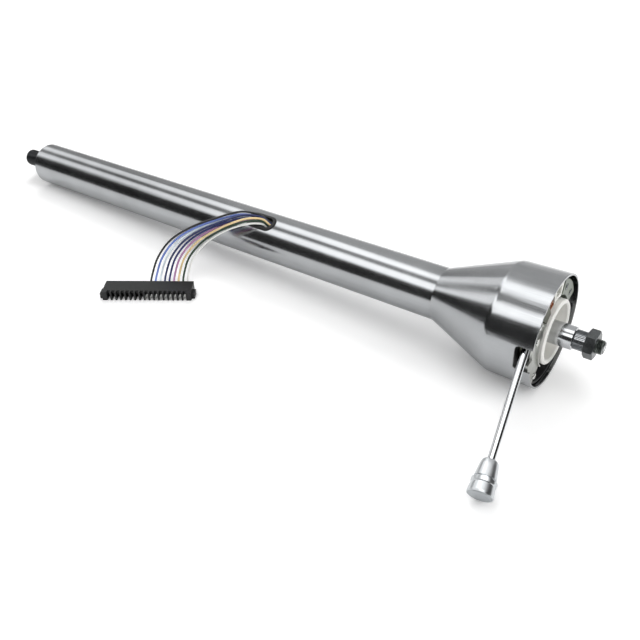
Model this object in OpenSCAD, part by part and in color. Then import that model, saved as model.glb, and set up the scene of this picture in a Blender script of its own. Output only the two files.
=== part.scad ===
// Floor-shift steering column, lying as it is stored: the foot of the tube, the
// edge of the bell and the knob of the turn lever touch the surface.
// Every piece is drawn along +X from the lower tip of the shaft, then laid()
// tips the column onto the surface. Angles round the column count from the
// lever's side (-Y) through the top (+Z).

/* [Column tube] */
// Outer diameter of the column tube
tube_d = 50.8; // [48:0.1:54]
// Wall of the column tube
tube_wall = 1.65; // [1.2:0.05:2.2]
// Length of tube that shows below the bell
tube_length = 586.7; // [520:0.5:700]
// Length of shaft that stands out of the tube's foot
shaft_exposed = 43; // [40:0.5:60]

/* [Bell] */
// Outer diameter of the bell at its mouth
bell_d = 103.6; // [102:0.1:110]
// Length of the bell's cone
bell_cone_length = 63.3; // [50:0.1:70]
// Length of the bell from neck to rim
bell_length = 106.2; // [100:0.1:120]
// How far the bell's mouth flares from the crease to the rim
mouth_flare = 0.7; // [0.3:0.1:1.5]
// Wall of the bell
bell_wall = 1.8; // [1.4:0.1:2.2]
// Step where the bell's neck starts on the tube
neck_lip = 0.5; // [0.3:0.1:1.5]
// Length of the bell's socket over the tube
neck_socket = 12; // [8:0.5:20]
// Radius on the edge between cone and mouth
bell_edge_round = 12; // [4:0.5:14]

/* [Steering shaft] */
// Diameter of the upper shaft
shaft_d = 20.6; // [18.6:0.1:21.6]
// Length of plain shaft that stands out of the rim
shaft_plain = 18.1; // [12:0.1:24]
// Length of the splined seat for the wheel
wheel_seat = 9.5; // [6:0.1:16]
// Outer diameter of the wheel splines
wheel_spline_d = 17.3; // [16.4:0.1:18]
// Diameter of the thread for the wheel nut
thread_d = 12.8; // [12:0.1:15]
// Length of the thread
thread_length = 14.6; // [14:0.1:24]
// Outer diameter of the lower coupling spline
foot_spline_d = 20.64; // [20:0.02:21.2]
// Length of the lower coupling spline
foot_spline_length = 32.5; // [24:0.5:36]
// Diameter of the sleeve that the upper shaft telescopes in
sleeve_d = 25.4; // [24.4:0.1:27]
// Where the telescoping sleeve ends, from the foot of the tube
sleeve_end = 300; // [240:1:360]
// Depth that the upper shaft reaches into the sleeve
shaft_overlap = 120; // [80:1:150]

/* [Wheel nut] */
// Width of the wheel nut across its flats
nut_flats = 22.7; // [20:0.1:24]
// Height of the wheel nut
nut_height = 8.5; // [8:0.5:14]

/* [Turn lever] */
// Diameter of the lever rod
lever_rod_d = 6.35; // [5:0.05:7]
// Reach of the lever from the bell's surface to the end of its knob
lever_reach = 123.8; // [90:0.1:160]
// Slope of the lever below the level, seen along the column
lever_down = 22.6; // [15:0.1:28]
// Lean of the lever towards the wheel
lever_lean = 9.8; // [4:0.1:14]
// Length of the lever's knob
knob_length = 30; // [20:0.1:34]
// Largest diameter of the lever's knob
knob_d = 20.4; // [16:0.1:22]

/* [Hazard switch] */
// Travel of the hazard knob
hazard_travel = 5; // [3:0.1:6]
// Diameter of the hazard knob
hazard_knob_d = 11; // [8:0.5:13]

/* [Wiring] */
// Length of the wire slot in the tube
slot_length = 31.5; // [29:0.5:35]
// Width of the wire slot in the tube
slot_width = 14; // [13:0.5:16]
// Middle of the wire slot, from the foot of the tube
slot_place = 377.5; // [375:0.5:380]
// Outer diameter of a wire
wire_d = 2.2; // [1.8:0.1:2.3]
// Length of the plug without its ears
plug_body = 92; // [88:0.5:98]
// Depth of the plug
plug_depth = 22; // [18:0.5:26]
// Height of the plug
plug_height = 10; // [8:0.5:13]
// Spacing of the plug's contacts
contact_pitch = 4.9; // [4.6:0.1:5.2]

/* [Hidden] */
// Clearances
seat_gap = 0.05;
running_gap = 0.06;
joint_gap = 0.4;
cut_over = 1;

// Angles round the column
slot_angle = 65;
run_angle = 75;
hazard_angle = 190;

// Column and bell
tube_r = tube_d / 2;
tube_bore_r = tube_r - tube_wall;
tube_start = shaft_exposed;
bell_r = bell_d / 2;
neck_r = tube_r + neck_lip;
neck_x = tube_start + tube_length;
crease_x = neck_x + bell_cone_length;
rim_x = neck_x + bell_length;
crease_r = bell_r - mouth_flare;
cone_angle = atan2(crease_r - neck_r, bell_cone_length);
mouth_angle = atan2(mouth_flare, bell_length - bell_cone_length);
edge_middle = 90 + (cone_angle + mouth_angle) / 2;
edge_reach = bell_edge_round / cos((cone_angle - mouth_angle) / 2);
edge_x = crease_x - edge_reach * cos(edge_middle);
edge_r = crease_r - edge_reach * sin(edge_middle);
bell_bore_r = bell_r - bell_wall;

// Points on the rounded edges of the lathed outlines
arc_steps = 5;

// The column tips until its foot and the bell's edge both touch the surface
edge_run_out = edge_x - tube_start;
rest_tilt = atan2(edge_r - tube_r, edge_run_out)
    + asin(bell_edge_round / norm([edge_run_out, edge_r - tube_r]));
floor_z = tube_start * sin(rest_tilt) - tube_r * cos(rest_tilt);

// Lever notch in the bell, from the rim, and its side edges above and below
notch_depth = 14.7;
notch_top = 11;
notch_bottom = 12;
notch_round = 3;

// Depths behind the rim in the head
tube_end_depth = 43;
bearing_depth = 27.5;
base_back_depth = 20;
base_front_depth = 16;
arm_back_depth = 15.5;
arm_front_depth = 5.8;
parts_depth = 2.5;
tube_end_x = rim_x - tube_end_depth;
bearing_front_x = rim_x - bearing_depth;
base_back_x = rim_x - base_back_depth;
base_front_x = rim_x - base_front_depth;
arm_back_x = rim_x - arm_back_depth;
arm_front_x = rim_x - arm_front_depth;
parts_front_x = rim_x - parts_depth;
housing_plate = 5;
bearing_width = 10;

// Bearings: race thickness, ball, and the share of it between inner race and ball centre
race_wall = 3.2;
ball_d = 6.35;
ball_share = 0.3;
ball_count = 12;
groove_gap = 0.12;
shaft_r = shaft_d / 2;
foot_r = foot_spline_d / 2;
function ball_pitch_r(bore) = bore + race_wall + ball_d * ball_share;
function race_outer_r(bore) = 2 * ball_pitch_r(bore) - bore;
upper_bore_r = shaft_r + seat_gap;
lower_bore_r = foot_r + seat_gap;
upper_outer_r = race_outer_r(upper_bore_r);
lower_outer_r = race_outer_r(lower_bore_r);
lower_bearing_inset = 7;
lower_bearing_x = tube_start + lower_bearing_inset;

// Foot plug that carries the lower bearing
foot_plug_inset = 1.5;
foot_plug_x = tube_start + foot_plug_inset;
foot_plug_length = 22;
foot_plug_lip = 2.4;

// Plate welded to the upper end of the tube, and its screws
end_plate = 3;
end_plate_r = 41;
end_sleeve = 9;
end_sleeve_wall = 2.6;
plate_screw_ring = 34;
plate_screw_r = 2.4;
plate_screw_angles = [-62, 8, 135, 225];

// Die-cast bearing housing
housing_play = 1.2;
housing_hub_wall = 4.6;
housing_hole_play = 5.5;
housing_r = crease_r - bell_wall - housing_play;
housing_hub_r = upper_outer_r + housing_hub_wall;
housing_hole_r = shaft_r + housing_hole_play;
cast_wall_in = 31.2;
cast_wall_out = 46;
cast_wall_from = 29;
cast_wall_to = 60;
cast_wall_depth = 1.2;
cast_wall_front_x = rim_x - cast_wall_depth;
recess_play = 1;

// Turn signal switch
base_in_r = 24.5;
base_play = 0.9;
base_out_r = bell_bore_r - base_play;
base_mid_x = (base_back_x + base_front_x) / 2;
base_wall = 2.4;
base_wall_r = base_out_r - joint_gap;
base_wall_angles = [-178, -52];
base_wall_depth = 3.4;
base_wall_front_x = rim_x - base_wall_depth;
base_screw_ring = 41;
base_screw_r = 2.1;
base_screw_angles = [-150, -75, 168];
block_in = 32.4;
block_out = 46.5;
block_angles = [108, 158];
frame_angles = [78, 103];
frame_edge = 3.2;
frame_edge_angle = 4.8;
contact_angles = [64, 75];

// Lever: where its axis passes the bell, its pivot, arm and bracket
lever_exit_back = 6.4;
lever_exit_up = 2.8;
pivot_inset = 18;
lever_dir = [
    sin(lever_lean),
    -cos(lever_lean) * cos(lever_down),
    -cos(lever_lean) * sin(lever_down)
];
lever_exit = [
    rim_x - lever_exit_back,
    -sqrt(bell_r * bell_r - lever_exit_up * lever_exit_up),
    lever_exit_up
];
pivot_at = lever_exit - pivot_inset * lever_dir;
pivot_ring = norm([pivot_at[1], pivot_at[2]]);
pivot_angle = atan2(pivot_at[2], -pivot_at[1]);
pivot_pin_r = 2.5;
pivot_head_r = 3.6;
pivot_boss_r = 6.2;
socket_r = 4.8;
socket_length = 10;
arm_tail_width = 3.8;
arm_tail_out_r = pivot_ring + seat_gap;
arm_tail_in_r = arm_tail_out_r - arm_tail_width;
arm_tail_to = -36;
arm_tail_thick = 3;
bracket_in = 31.2;
bracket_flange = 1.4;
bracket_flange_high = 1.8;
bracket_play = 1;
bracket_out = bell_bore_r - bracket_play;
bracket_from = -48;
bracket_to = 41;
bracket_thick = 2.3;
bracket_screw_ring = 42;
bracket_screw_r = 1.6;
bracket_screw_angles = [-43, 35];
bracket_relief_r = 41;
bracket_relief = [-8, 17];
bracket_post_r = 3.2;

// Knob outline: distance from its small end and radius, as shares
knob_length_shares = [0, 0.03, 0.13, 0.26, 0.49, 0.49, 0.545, 0.545, 0.65, 0.67, 0.9, 0.955];
knob_radius_shares = [0.48, 0.56, 0.655, 0.725, 0.835, 0.81, 0.81, 0.94, 0.945, 0.925, 1, 0.985];
knob_cap_share = 0.955;
knob_cap_r_share = 0.9;
knob_cap_depth_share = 0.06;
knob_dome_lengths = [0.985, 0.997];
knob_dome_radii = [0.86, 0.5];

// Cancelling cam
cam_r = 29.4;
cam_wall = 4;
cam_proud = 2;
cam_web_depth = 12.1;
cam_hub_depth = 18.5;
cam_front_x = rim_x + cam_proud;
cam_web_x = rim_x - cam_web_depth;
cam_web = 2;
cam_hub_r = 14.5;
cam_hub_back_x = rim_x - cam_hub_depth;
cam_lobe = 2;
cam_lobe_half = 18;
horn_ring_in = 18;
horn_ring_out = 23;
horn_ring_thick = 0.8;

// Hazard switch
hazard_depth = 28;
hazard_x = rim_x - hazard_depth;
hazard_stem_r = 2.4;
hazard_box = [11, 11];
hazard_box_in = 28;
hazard_box_out = 41;
hazard_stem_in = 34.5;
hazard_knob_h = 7;
hazard_hole_play = 0.8;
hazard_hole_r = hazard_stem_r + hazard_hole_play;

// Inner wiring run
run_ring = 16.7;
run_high = 7.6;
run_wide = 10;
run_inset = 1.4;
run_start_x = tube_start + slot_place + slot_length / 2 - run_inset;
riser_inset = 30;
riser_x = tube_end_x - riser_inset;
riser_long = 12;
riser_ring = 33;
riser_high = 4.4;
window_gap = 1;

// Grommet
grommet_lip = 2.5;
grommet_high = 1.6;
grommet_wall = 1.3;
grommet_inner_share = 0.8;

// Screw heads and cross recesses, as shares of the screw's radius
head_share = 1.2;
head_r_shares = [1.9, 1.5];
recess_shares = [0.5, 2.4, 0.6];

// Retaining ring, race seat and preload spring
retainer_thick = 1.2;
retainer_rim = 3;
retainer_depth = 0.6;
retainer_opening = 20;
retainer_x = bearing_front_x - bearing_width - retainer_thick - seat_gap;
seat_length = 2.6;
seat_rim = 4.4;
seat_foot_share = 0.8;
spring_wire_r = 0.8;
spring_turns = 2.5;

// Shafts and the shear pins between them
relief_length = 3.5;
relief_depth = 1.1;
end_chamfer = 1;
sleeve_start = lower_bearing_x + bearing_width + seat_gap;
sleeve_end_x = tube_start + sleeve_end;
shaft_start_x = sleeve_end_x - shaft_overlap;
sleeve_r = sleeve_d / 2;
telescope_r = shaft_r + seat_gap;
spline_teeth = 36;
tooth_shares = [0, 0.22, 0.5, 0.72];
pin_r = 2;
pin_places = [0.3, 0.7];
nut_turn = 34.6;

// Horn contact
brush_angle = 120;
brush_r = 2.2;
brush_gap = 1;
brush_back_x = bearing_front_x + brush_gap;

// Springs and strips in the switch
spring_pocket_r = 3;
pocket_ring = 39.5;
pocket_angles = [120, 146];
pocket_floor_depth = 12;
pocket_floor_x = rim_x - pocket_floor_depth;
block_wire_r = 0.45;
block_spring_turns = 4;
strip_count = 4;

// Lever's inner end, its pivot's head and its detent
pivot_head_high = 1.4;
rod_start = 4.5;
lever_end = pivot_inset + lever_reach;
knob_start = lever_end - knob_length;
knob_bore = 0.4;
detent_angle = -30;
detent_ring = 43.4;
detent_coil_r = 1.6;
detent_wire_r = 0.35;
detent_turns = 5;

// Plug: where its rear left foot stands, how it is turned, and its comb
plug_at = [306.5, -133.2];
plug_turn = 35.7;
plug_ear = 3.2;
plug_ear_share = 0.45;
plug_ear_high_share = 0.6;
comb_depth = 7;
comb_shelf = 3.4;
comb_shelf_share = 0.36;
fin_thick = 1.9;
gap_count = 17;
contact_w = 1.9;
contact_h = 3;
contact_rise = 2.4;

// Wires: the ways of the first and the last one, and how far the layers lie apart
wire_count = 9;
wire_sides = 8;
first_way = [
    [436, -0.8, 34.2],
    [426, -6.8, 37.6],
    [416.5, -9.5, 42.8],
    [401, -20.5, 47.2],
    [385, -38, 44.2],
    [364, -57, 35.4],
    [347, -73, 21.6],
    [338, -86, 3.8],
    [337.5, -97, -13],
    [344.7, -107.5, -18.6]
];
last_way = [
    [436, -7.8, 32.2],
    [429.5, -11, 35.6],
    [423.5, -14.5, 41],
    [413.5, -25, 42],
    [401, -37, 37.2],
    [389, -46.5, 29],
    [377, -55, 17.5],
    [368, -65, 1.5],
    [369, -75, -13],
    [376.5, -84.6, -18.6]
];
layer_way = [2.3, 2.3, 2.3, 2.3, 1.9, 1.1, 0.4, 0, 0, 0];
middle_way = (first_way + last_way) / 2;
ring_guide = [0.5, 0.2, -0.84];
wire_tints = [
    "#1a1a1c", "#7f95cc", "#e9eef2", "#26305a", "#1f2a6b", "#b98ab4", "#e7b58c", "#23402f", "#f4f4f0"
];

$fn = 96;

// Lays the column down on the surface
module laid() {
    rotate([0, -rest_tilt, 0]) children();
}

// Turns +Z to the column's +X at a station
module at_x(x) {
    translate([x, 0, 0]) rotate([0, 90, 0]) children();
}

// The same at a distance and an angle from the column's axis
module at_ring(x, ring, angle) {
    translate([x, -ring * cos(angle), ring * sin(angle)]) rotate([0, 90, 0]) children();
}

// +Z points away from the axis at an angle, +X stays along the column
module outwards(x, angle) {
    translate([x, 0, 0]) rotate([90 - angle, 0, 0]) children();
}

// Solid of revolution from points of station and radius
module turned(points) {
    at_x(0) rotate_extrude() polygon([for (p = points) [p[1], p[0]]]);
}

module ring(x1, x2, inner, outer) {
    turned([[x1, inner], [x2, inner], [x2, outer], [x1, outer]]);
}

// Part of a ring between two angles
module ring_part(x1, x2, inner, outer, from, to) {
    at_x(0) rotate([0, 0, -90 - to]) rotate_extrude(angle = to - from)
        translate([inner, x1]) square([outer - inner, x2 - x1]);
}

module rod(x1, x2, r) {
    at_x(x1) cylinder(h = x2 - x1, r = r);
}

// Flat bar with round ends, its length along +X
module round_bar(length, width, height) {
    run = (length - width) / 2;
    translate([-run, 0, 0]) cylinder(h = height, d = width);
    translate([run, 0, 0]) cylinder(h = height, d = width);
    translate([-run, -width / 2, 0]) cube([2 * run, width, height]);
}

// Coil of round wire along +Z
module coil(turns, coil_r, wire_r, height) {
    sides = 6;
    steps = 12;
    count = ceil(turns * steps);
    rise = height / count;
    rings = [for (k = [0 : count]) [for (s = [0 : sides - 1])
        let (
            turn = 360 * k / steps,
            side = 360 * s / sides,
            r = coil_r + wire_r * cos(side)
        )
        [r * cos(turn), r * sin(turn), rise * k + wire_r * sin(side)]]];
    loft(rings);
}

// Closed skin over equal rings of points
module loft(rings) {
    n = len(rings[0]);
    last = len(rings) - 1;
    points = [for (one = rings) each one];
    walls = [for (k = [0 : last - 1]) for (s = [0 : n - 1])
        let (
            a = k * n + s,
            b = k * n + (s + 1) % n
        )
        each [[a, a + n, b + n], [a, b + n, b]]];
    foot = [for (s = [0 : n - 1]) s];
    head = [for (s = [n - 1 : -1 : 0]) last * n + s];
    polyhedron(points = points, faces = concat(walls, [foot, head]), convexity = 4);
}

// Round toothed outline
module toothed(outer, inner, teeth) {
    polygon([for (t = [0 : teeth - 1]) for (c = [0 : 3])
        let (
            angle = 360 * (t + tooth_shares[c]) / teeth,
            r = [inner, outer, outer, inner][c]
        )
        [r * cos(angle), r * sin(angle)]]);
}

// Column tube with its wire slot and the window for the wiring inside the bell
module column_tube() {
    color("#b4b6b8") difference() {
        ring(tube_start, tube_end_x, tube_bore_r, tube_r);
        outwards(tube_start + slot_place, slot_angle)
            translate([0, 0, tube_r / 2]) round_bar(slot_length, slot_width, tube_r);
        outwards(riser_x, run_angle)
            translate([-window_gap, -run_wide / 2 - window_gap, tube_r / 2])
                cube([riser_long + 2 * window_gap, run_wide + 2 * window_gap, tube_r]);
    }
}

function edge_arc(r, from, to) = [for (k = [0 : arc_steps])
    let (turn = from + (to - from) * k / arc_steps)
    [edge_x + r * cos(turn), edge_r + r * sin(turn)]];

// Bell: cone, rounded edge and mouth, with a notch for the lever
module bell() {
    socket_end = neck_x + neck_socket;
    inner_cone_r = neck_r + neck_socket * tan(cone_angle) - bell_wall / cos(cone_angle);
    notch_mid = (notch_top - notch_bottom) / 2;
    notch_wide = notch_top + notch_bottom;
    color("#b9babc") difference() {
        turned(concat(
            [[neck_x, tube_r + seat_gap], [neck_x, neck_r]],
            edge_arc(bell_edge_round, 90 + cone_angle, 90 + mouth_angle),
            [[rim_x, bell_r], [rim_x, bell_bore_r]],
            edge_arc(bell_edge_round - bell_wall, 90 + mouth_angle, 90 + cone_angle),
            [[socket_end, inner_cone_r], [socket_end, tube_r + seat_gap]]
        ));
        translate([rim_x - notch_depth, -bell_r - cut_over, notch_mid]) rotate([-90, 0, 0])
            translate([notch_round, -notch_wide / 2, 0]) {
                cube([notch_depth, notch_wide, bell_r / 2]);
                translate([-notch_round, notch_round, 0])
                    cube([notch_depth, notch_wide - 2 * notch_round, bell_r / 2]);
                for (side = [notch_round, notch_wide - notch_round])
                    translate([0, side, 0]) cylinder(h = bell_r / 2, r = notch_round);
            }
        outwards(hazard_x, hazard_angle)
            translate([0, 0, bell_r / 2]) cylinder(h = bell_r, r = hazard_hole_r);
    }
}

module screw_holes(x, length, ring_r, angles, r) {
    for (angle = angles) at_ring(x, ring_r, angle) cylinder(h = length, r = r);
}

// Screws with pan heads, a cross recess, and their heads towards the wheel
module pan_screws(x, head_x, ring_r, angles, r) {
    head_high = head_share * r;
    recess = recess_shares * r;
    for (angle = angles) at_ring(head_x, ring_r, angle) difference() {
        union() {
            translate([0, 0, x - head_x]) cylinder(h = head_x - x, r = r);
            cylinder(h = head_high / 2, r = head_r_shares[0] * r);
            translate([0, 0, head_high / 2]) cylinder(h = head_high / 2, r = head_r_shares[1] * r);
        }
        for (turn = [0, 90]) rotate([0, 0, turn])
            translate([-recess[0] / 2, -recess[1] / 2, head_high - recess[2]])
                cube([recess[0], recess[1], head_high]);
    }
}

module wiring_window(x1, x2) {
    outwards(x1, run_angle)
        translate([0, -run_wide / 2 - window_gap, riser_ring - riser_high / 2 - window_gap])
            cube([x2 - x1, run_wide + 2 * window_gap, riser_high + 2 * window_gap]);
}

// Flanged ring welded over the upper end of the tube
module tube_end_plate() {
    sleeve_r = tube_r + seat_gap;
    color("#8d9093") difference() {
        turned([
            [tube_end_x - end_sleeve, sleeve_r],
            [tube_end_x, sleeve_r],
            [tube_end_x, end_plate_r],
            [tube_end_x - end_plate, end_plate_r],
            [tube_end_x - end_plate, sleeve_r + end_sleeve_wall],
            [tube_end_x - end_sleeve, sleeve_r + end_sleeve_wall]
        ]);
        screw_holes(tube_end_x - end_plate - cut_over, end_plate + 2 * cut_over,
            plate_screw_ring, plate_screw_angles, plate_screw_r + seat_gap);
        wiring_window(tube_end_x - end_plate - cut_over, tube_end_x + cut_over);
    }
}

// Die-cast housing: plate, bearing hub, the curved wall and the bracket's posts
module bearing_housing() {
    plate_front_x = tube_end_x + housing_plate;
    pocket_x = bearing_front_x - bearing_width;
    color("#8b8f85") difference() {
        union() {
            turned([
                [tube_end_x, housing_hole_r],
                [pocket_x, housing_hole_r],
                [pocket_x, upper_outer_r + seat_gap],
                [bearing_front_x, upper_outer_r + seat_gap],
                [bearing_front_x, housing_hub_r],
                [plate_front_x, housing_hub_r],
                [plate_front_x, housing_r],
                [tube_end_x, housing_r]
            ]);
            ring_part(tube_end_x + housing_plate / 2, cast_wall_front_x, cast_wall_in, cast_wall_out,
                cast_wall_from, cast_wall_to);
            at_ring(tube_end_x + housing_plate / 2, bracket_screw_ring, bracket_screw_angles[0])
                cylinder(h = parts_front_x - bracket_thick - tube_end_x - housing_plate / 2,
                    r = bracket_post_r);
        }
        screw_holes(tube_end_x - cut_over, housing_plate + 2 * cut_over,
            plate_screw_ring, plate_screw_angles, plate_screw_r + seat_gap);
        ring_part(parts_front_x - bracket_thick, rim_x, bracket_in - cut_over, bracket_out,
            bracket_from - recess_play, bracket_to + recess_play);
        screw_holes(parts_front_x - 3 * bracket_thick, 3 * bracket_thick,
            bracket_screw_ring, bracket_screw_angles, bracket_screw_r + seat_gap);
        screw_holes(tube_end_x - cut_over, housing_plate + 2 * cut_over,
            base_screw_ring, base_screw_angles, base_screw_r + seat_gap);
        wiring_window(tube_end_x - cut_over, plate_front_x + cut_over);
    }
}

module housing_screws() {
    color("#6d7073") pan_screws(tube_end_x - end_plate - cut_over, tube_end_x + housing_plate,
        plate_screw_ring, plate_screw_angles, plate_screw_r);
}

// Plastic plug in the foot of the tube, with the pocket of the lower bearing
module foot_plug() {
    end_x = foot_plug_x + foot_plug_length;
    pocket_x = lower_bearing_x;
    color("#1c1d1f") turned([
        [foot_plug_x, foot_r + foot_plug_lip],
        [pocket_x, foot_r + foot_plug_lip],
        [pocket_x, lower_outer_r + seat_gap],
        [end_x, lower_outer_r + seat_gap],
        [end_x, tube_bore_r - seat_gap],
        [foot_plug_x, tube_bore_r - seat_gap]
    ]);
}

module groove(x, bore) {
    at_x(x) rotate_extrude() translate([ball_pitch_r(bore), 0]) circle(r = ball_d / 2 + groove_gap);
}

module inner_race(x, bore) {
    difference() {
        ring(x, x + bearing_width, bore, bore + race_wall);
        groove(x + bearing_width / 2, bore);
    }
}

module outer_race(x, bore) {
    difference() {
        ring(x, x + bearing_width, race_outer_r(bore) - race_wall, race_outer_r(bore));
        groove(x + bearing_width / 2, bore);
    }
}

module balls(x, bore) {
    for (k = [0 : ball_count - 1])
        at_ring(x + bearing_width / 2, ball_pitch_r(bore), 360 * k / ball_count) sphere(d = ball_d);
}

module lower_outer_race() color("#9a9da0") outer_race(lower_bearing_x, lower_bore_r);
module lower_balls() color("#c9ccce") balls(lower_bearing_x, lower_bore_r);
module lower_inner_race() color("#9a9da0") inner_race(lower_bearing_x, lower_bore_r);
module upper_outer_race() color("#9a9da0") outer_race(bearing_front_x - bearing_width, upper_bore_r);
module upper_balls() color("#c9ccce") balls(bearing_front_x - bearing_width, upper_bore_r);
module upper_inner_race() color("#9a9da0") inner_race(bearing_front_x - bearing_width, upper_bore_r);

// Tapered seat that the preload spring presses against the upper bearing
module race_seat() {
    color("#85888b") turned([
        [bearing_front_x + seat_gap, upper_bore_r],
        [bearing_front_x + seat_length, upper_bore_r],
        [bearing_front_x + seat_length, upper_bore_r + seat_rim],
        [bearing_front_x + seat_gap, upper_bore_r + race_wall * seat_foot_share]
    ]);
}

module preload_spring() {
    from = bearing_front_x + seat_length + spring_wire_r + seat_gap;
    to = cam_hub_back_x - spring_wire_r - seat_gap;
    color("#5f6265") at_x(from)
        coil(spring_turns, upper_bore_r + seat_rim / 2, spring_wire_r, to - from);
}

// Split ring behind the upper bearing
module retaining_ring() {
    color("#3f4245") ring_part(retainer_x, retainer_x + retainer_thick,
        shaft_r - retainer_depth + seat_gap, shaft_r + retainer_rim,
        retainer_opening, 360 - retainer_opening);
}

// Lower shaft: coupling end, bearing seat and the sleeve that the upper shaft slides in
module lower_shaft() {
    color("#3a3c3f") difference() {
        turned([
            [0, 0],
            [0, foot_r - end_chamfer],
            [end_chamfer, foot_r],
            [foot_spline_length, foot_r],
            [foot_spline_length, foot_r - relief_depth],
            [foot_spline_length + relief_length, foot_r - relief_depth],
            [foot_spline_length + relief_length, foot_r],
            [sleeve_start, foot_r],
            [sleeve_start, sleeve_r],
            [sleeve_end_x, sleeve_r],
            [sleeve_end_x, telescope_r],
            [shaft_start_x - shaft_overlap / 2, telescope_r],
            [shaft_start_x - shaft_overlap / 2, 0]
        ]);
        pin_bores(pin_r + seat_gap);
    }
}

module pin_bores(r) {
    for (place = pin_places)
        translate([shaft_start_x + shaft_overlap * place, 0, 0])
            translate([0, 0, -sleeve_r - cut_over]) cylinder(h = 2 * sleeve_r + 2 * cut_over, r = r);
}

// Upper shaft with the wheel splines and the nut's thread
module upper_shaft() {
    plain_end_x = rim_x + shaft_plain;
    seat_end_x = plain_end_x + wheel_seat;
    thread_end_x = seat_end_x + thread_length;
    thread_r = thread_d / 2;
    color("#c4c6c9") difference() {
        union() {
            turned([
                [shaft_start_x, 0],
                [shaft_start_x, shaft_r - end_chamfer],
                [shaft_start_x + end_chamfer, shaft_r],
                [retainer_x - seat_gap, shaft_r],
                [retainer_x - seat_gap, shaft_r - retainer_depth],
                [retainer_x + retainer_thick + seat_gap, shaft_r - retainer_depth],
                [retainer_x + retainer_thick + seat_gap, shaft_r],
                [plain_end_x - end_chamfer, shaft_r],
                [plain_end_x, shaft_r - end_chamfer],
                [plain_end_x, thread_r],
                [thread_end_x - end_chamfer, thread_r],
                [thread_end_x, thread_r - end_chamfer],
                [thread_end_x, 0]
            ]);
            at_x(plain_end_x) linear_extrude(height = wheel_seat)
                toothed(wheel_spline_d / 2, wheel_spline_d / 2 - end_chamfer, spline_teeth);
        }
        pin_bores(pin_r + seat_gap);
    }
}

module shear_pins() {
    color("#e8e4d8") for (place = pin_places)
        translate([shaft_start_x + shaft_overlap * place, 0, -sleeve_r + end_chamfer])
            cylinder(h = 2 * (sleeve_r - end_chamfer), r = pin_r);
}

// Cancelling cam: a nylon cup on the shaft, with two lobes on its hub
module cancel_cam() {
    edge = cam_wall / 3;
    color("#ecebe2") union() {
        turned([
            [cam_hub_back_x, upper_bore_r],
            [cam_web_x + cam_web, upper_bore_r],
            [cam_web_x + cam_web, cam_r - cam_wall],
            [cam_front_x - edge, cam_r - cam_wall],
            [cam_front_x, cam_r - cam_wall + edge],
            [cam_front_x, cam_r - edge],
            [cam_front_x - edge, cam_r],
            [cam_web_x, cam_r],
            [cam_web_x, cam_hub_r],
            [cam_hub_back_x, cam_hub_r]
        ]);
        for (turn = [90, 270])
            ring_part(cam_hub_back_x, cam_web_x, cam_hub_r - cam_lobe / 2, cam_hub_r + cam_lobe,
                turn - cam_lobe_half, turn + cam_lobe_half);
    }
}

module horn_ring() {
    color("#b06a3c") ring(cam_web_x - horn_ring_thick, cam_web_x, horn_ring_in, horn_ring_out);
}

// Sprung horn contact that wipes the ring behind the cam
module horn_brush() {
    mid = (horn_ring_in + horn_ring_out) / 2;
    tip_x = cam_web_x - horn_ring_thick - joint_gap;
    color("#c08a4a") {
        at_ring(brush_back_x, mid, brush_angle) {
            cylinder(h = tip_x - brush_back_x - brush_r, r = brush_r);
            translate([0, 0, tip_x - brush_back_x - brush_r]) sphere(r = brush_r);
        }
        outwards(brush_back_x, brush_angle) translate([0, -brush_r / 2, mid])
            cube([brush_r / 2, brush_r, base_in_r - mid]);
        outwards(brush_back_x, brush_angle) translate([0, -brush_r, base_in_r - brush_r / 2])
            cube([base_back_x - brush_back_x, 2 * brush_r, 2 * brush_r]);
    }
}

module wheel_nut() {
    from = rim_x + shaft_plain + wheel_seat;
    corner_r = nut_flats / sqrt(3);
    cut = corner_r - nut_flats / 2;
    color("#4a4b4d") difference() {
        intersection() {
            at_x(from) rotate([0, 0, nut_turn]) cylinder(h = nut_height, r = corner_r, $fn = 6);
            turned([
                [from, 0],
                [from, nut_flats / 2],
                [from + cut / 2, corner_r],
                [from + nut_height - cut / 2, corner_r],
                [from + nut_height, nut_flats / 2],
                [from + nut_height, 0]
            ]);
        }
        rod(from - cut_over, from + nut_height + cut_over, thread_d / 2 + seat_gap);
    }
}

// Switch base: a plate round the cam with the black wall at the bell's far side
module switch_base() {
    color("#17181a") difference() {
        union() {
            ring(base_back_x, base_front_x, base_in_r, base_out_r);
            ring_part(base_mid_x, base_wall_front_x, base_wall_r - base_wall, base_wall_r,
                base_wall_angles[0], base_wall_angles[1]);
            outwards(hazard_x, hazard_angle)
                translate([-hazard_box[0] / 2, -hazard_box[1] / 2, hazard_box_in])
                    cube([base_mid_x - hazard_x + hazard_box[0] / 2, hazard_box[1],
                        hazard_box_out - hazard_box_in]);
        }
        ring_part(base_back_x - cut_over, base_front_x + cut_over,
            cast_wall_in - joint_gap, base_out_r + cut_over,
            cast_wall_from - recess_play, cast_wall_to + recess_play);
        at_ring(base_back_x - cut_over, bracket_screw_ring, bracket_screw_angles[0])
            cylinder(h = base_front_x - base_back_x + 2 * cut_over, r = bracket_post_r + joint_gap);
        screw_holes(base_back_x - cut_over, base_front_x - base_back_x + 2 * cut_over,
            base_screw_ring, base_screw_angles, base_screw_r + seat_gap);
        at_ring(base_back_x - cut_over, pivot_ring, pivot_angle)
            cylinder(h = base_front_x - base_back_x + 2 * cut_over, r = pivot_pin_r + seat_gap);
        wiring_window(base_back_x - cut_over, base_mid_x);
        outwards(hazard_x, hazard_angle)
            translate([0, 0, hazard_stem_in - hazard_travel - cut_over])
                cylinder(h = bell_r, r = hazard_stem_r + running_gap);
    }
}

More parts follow.
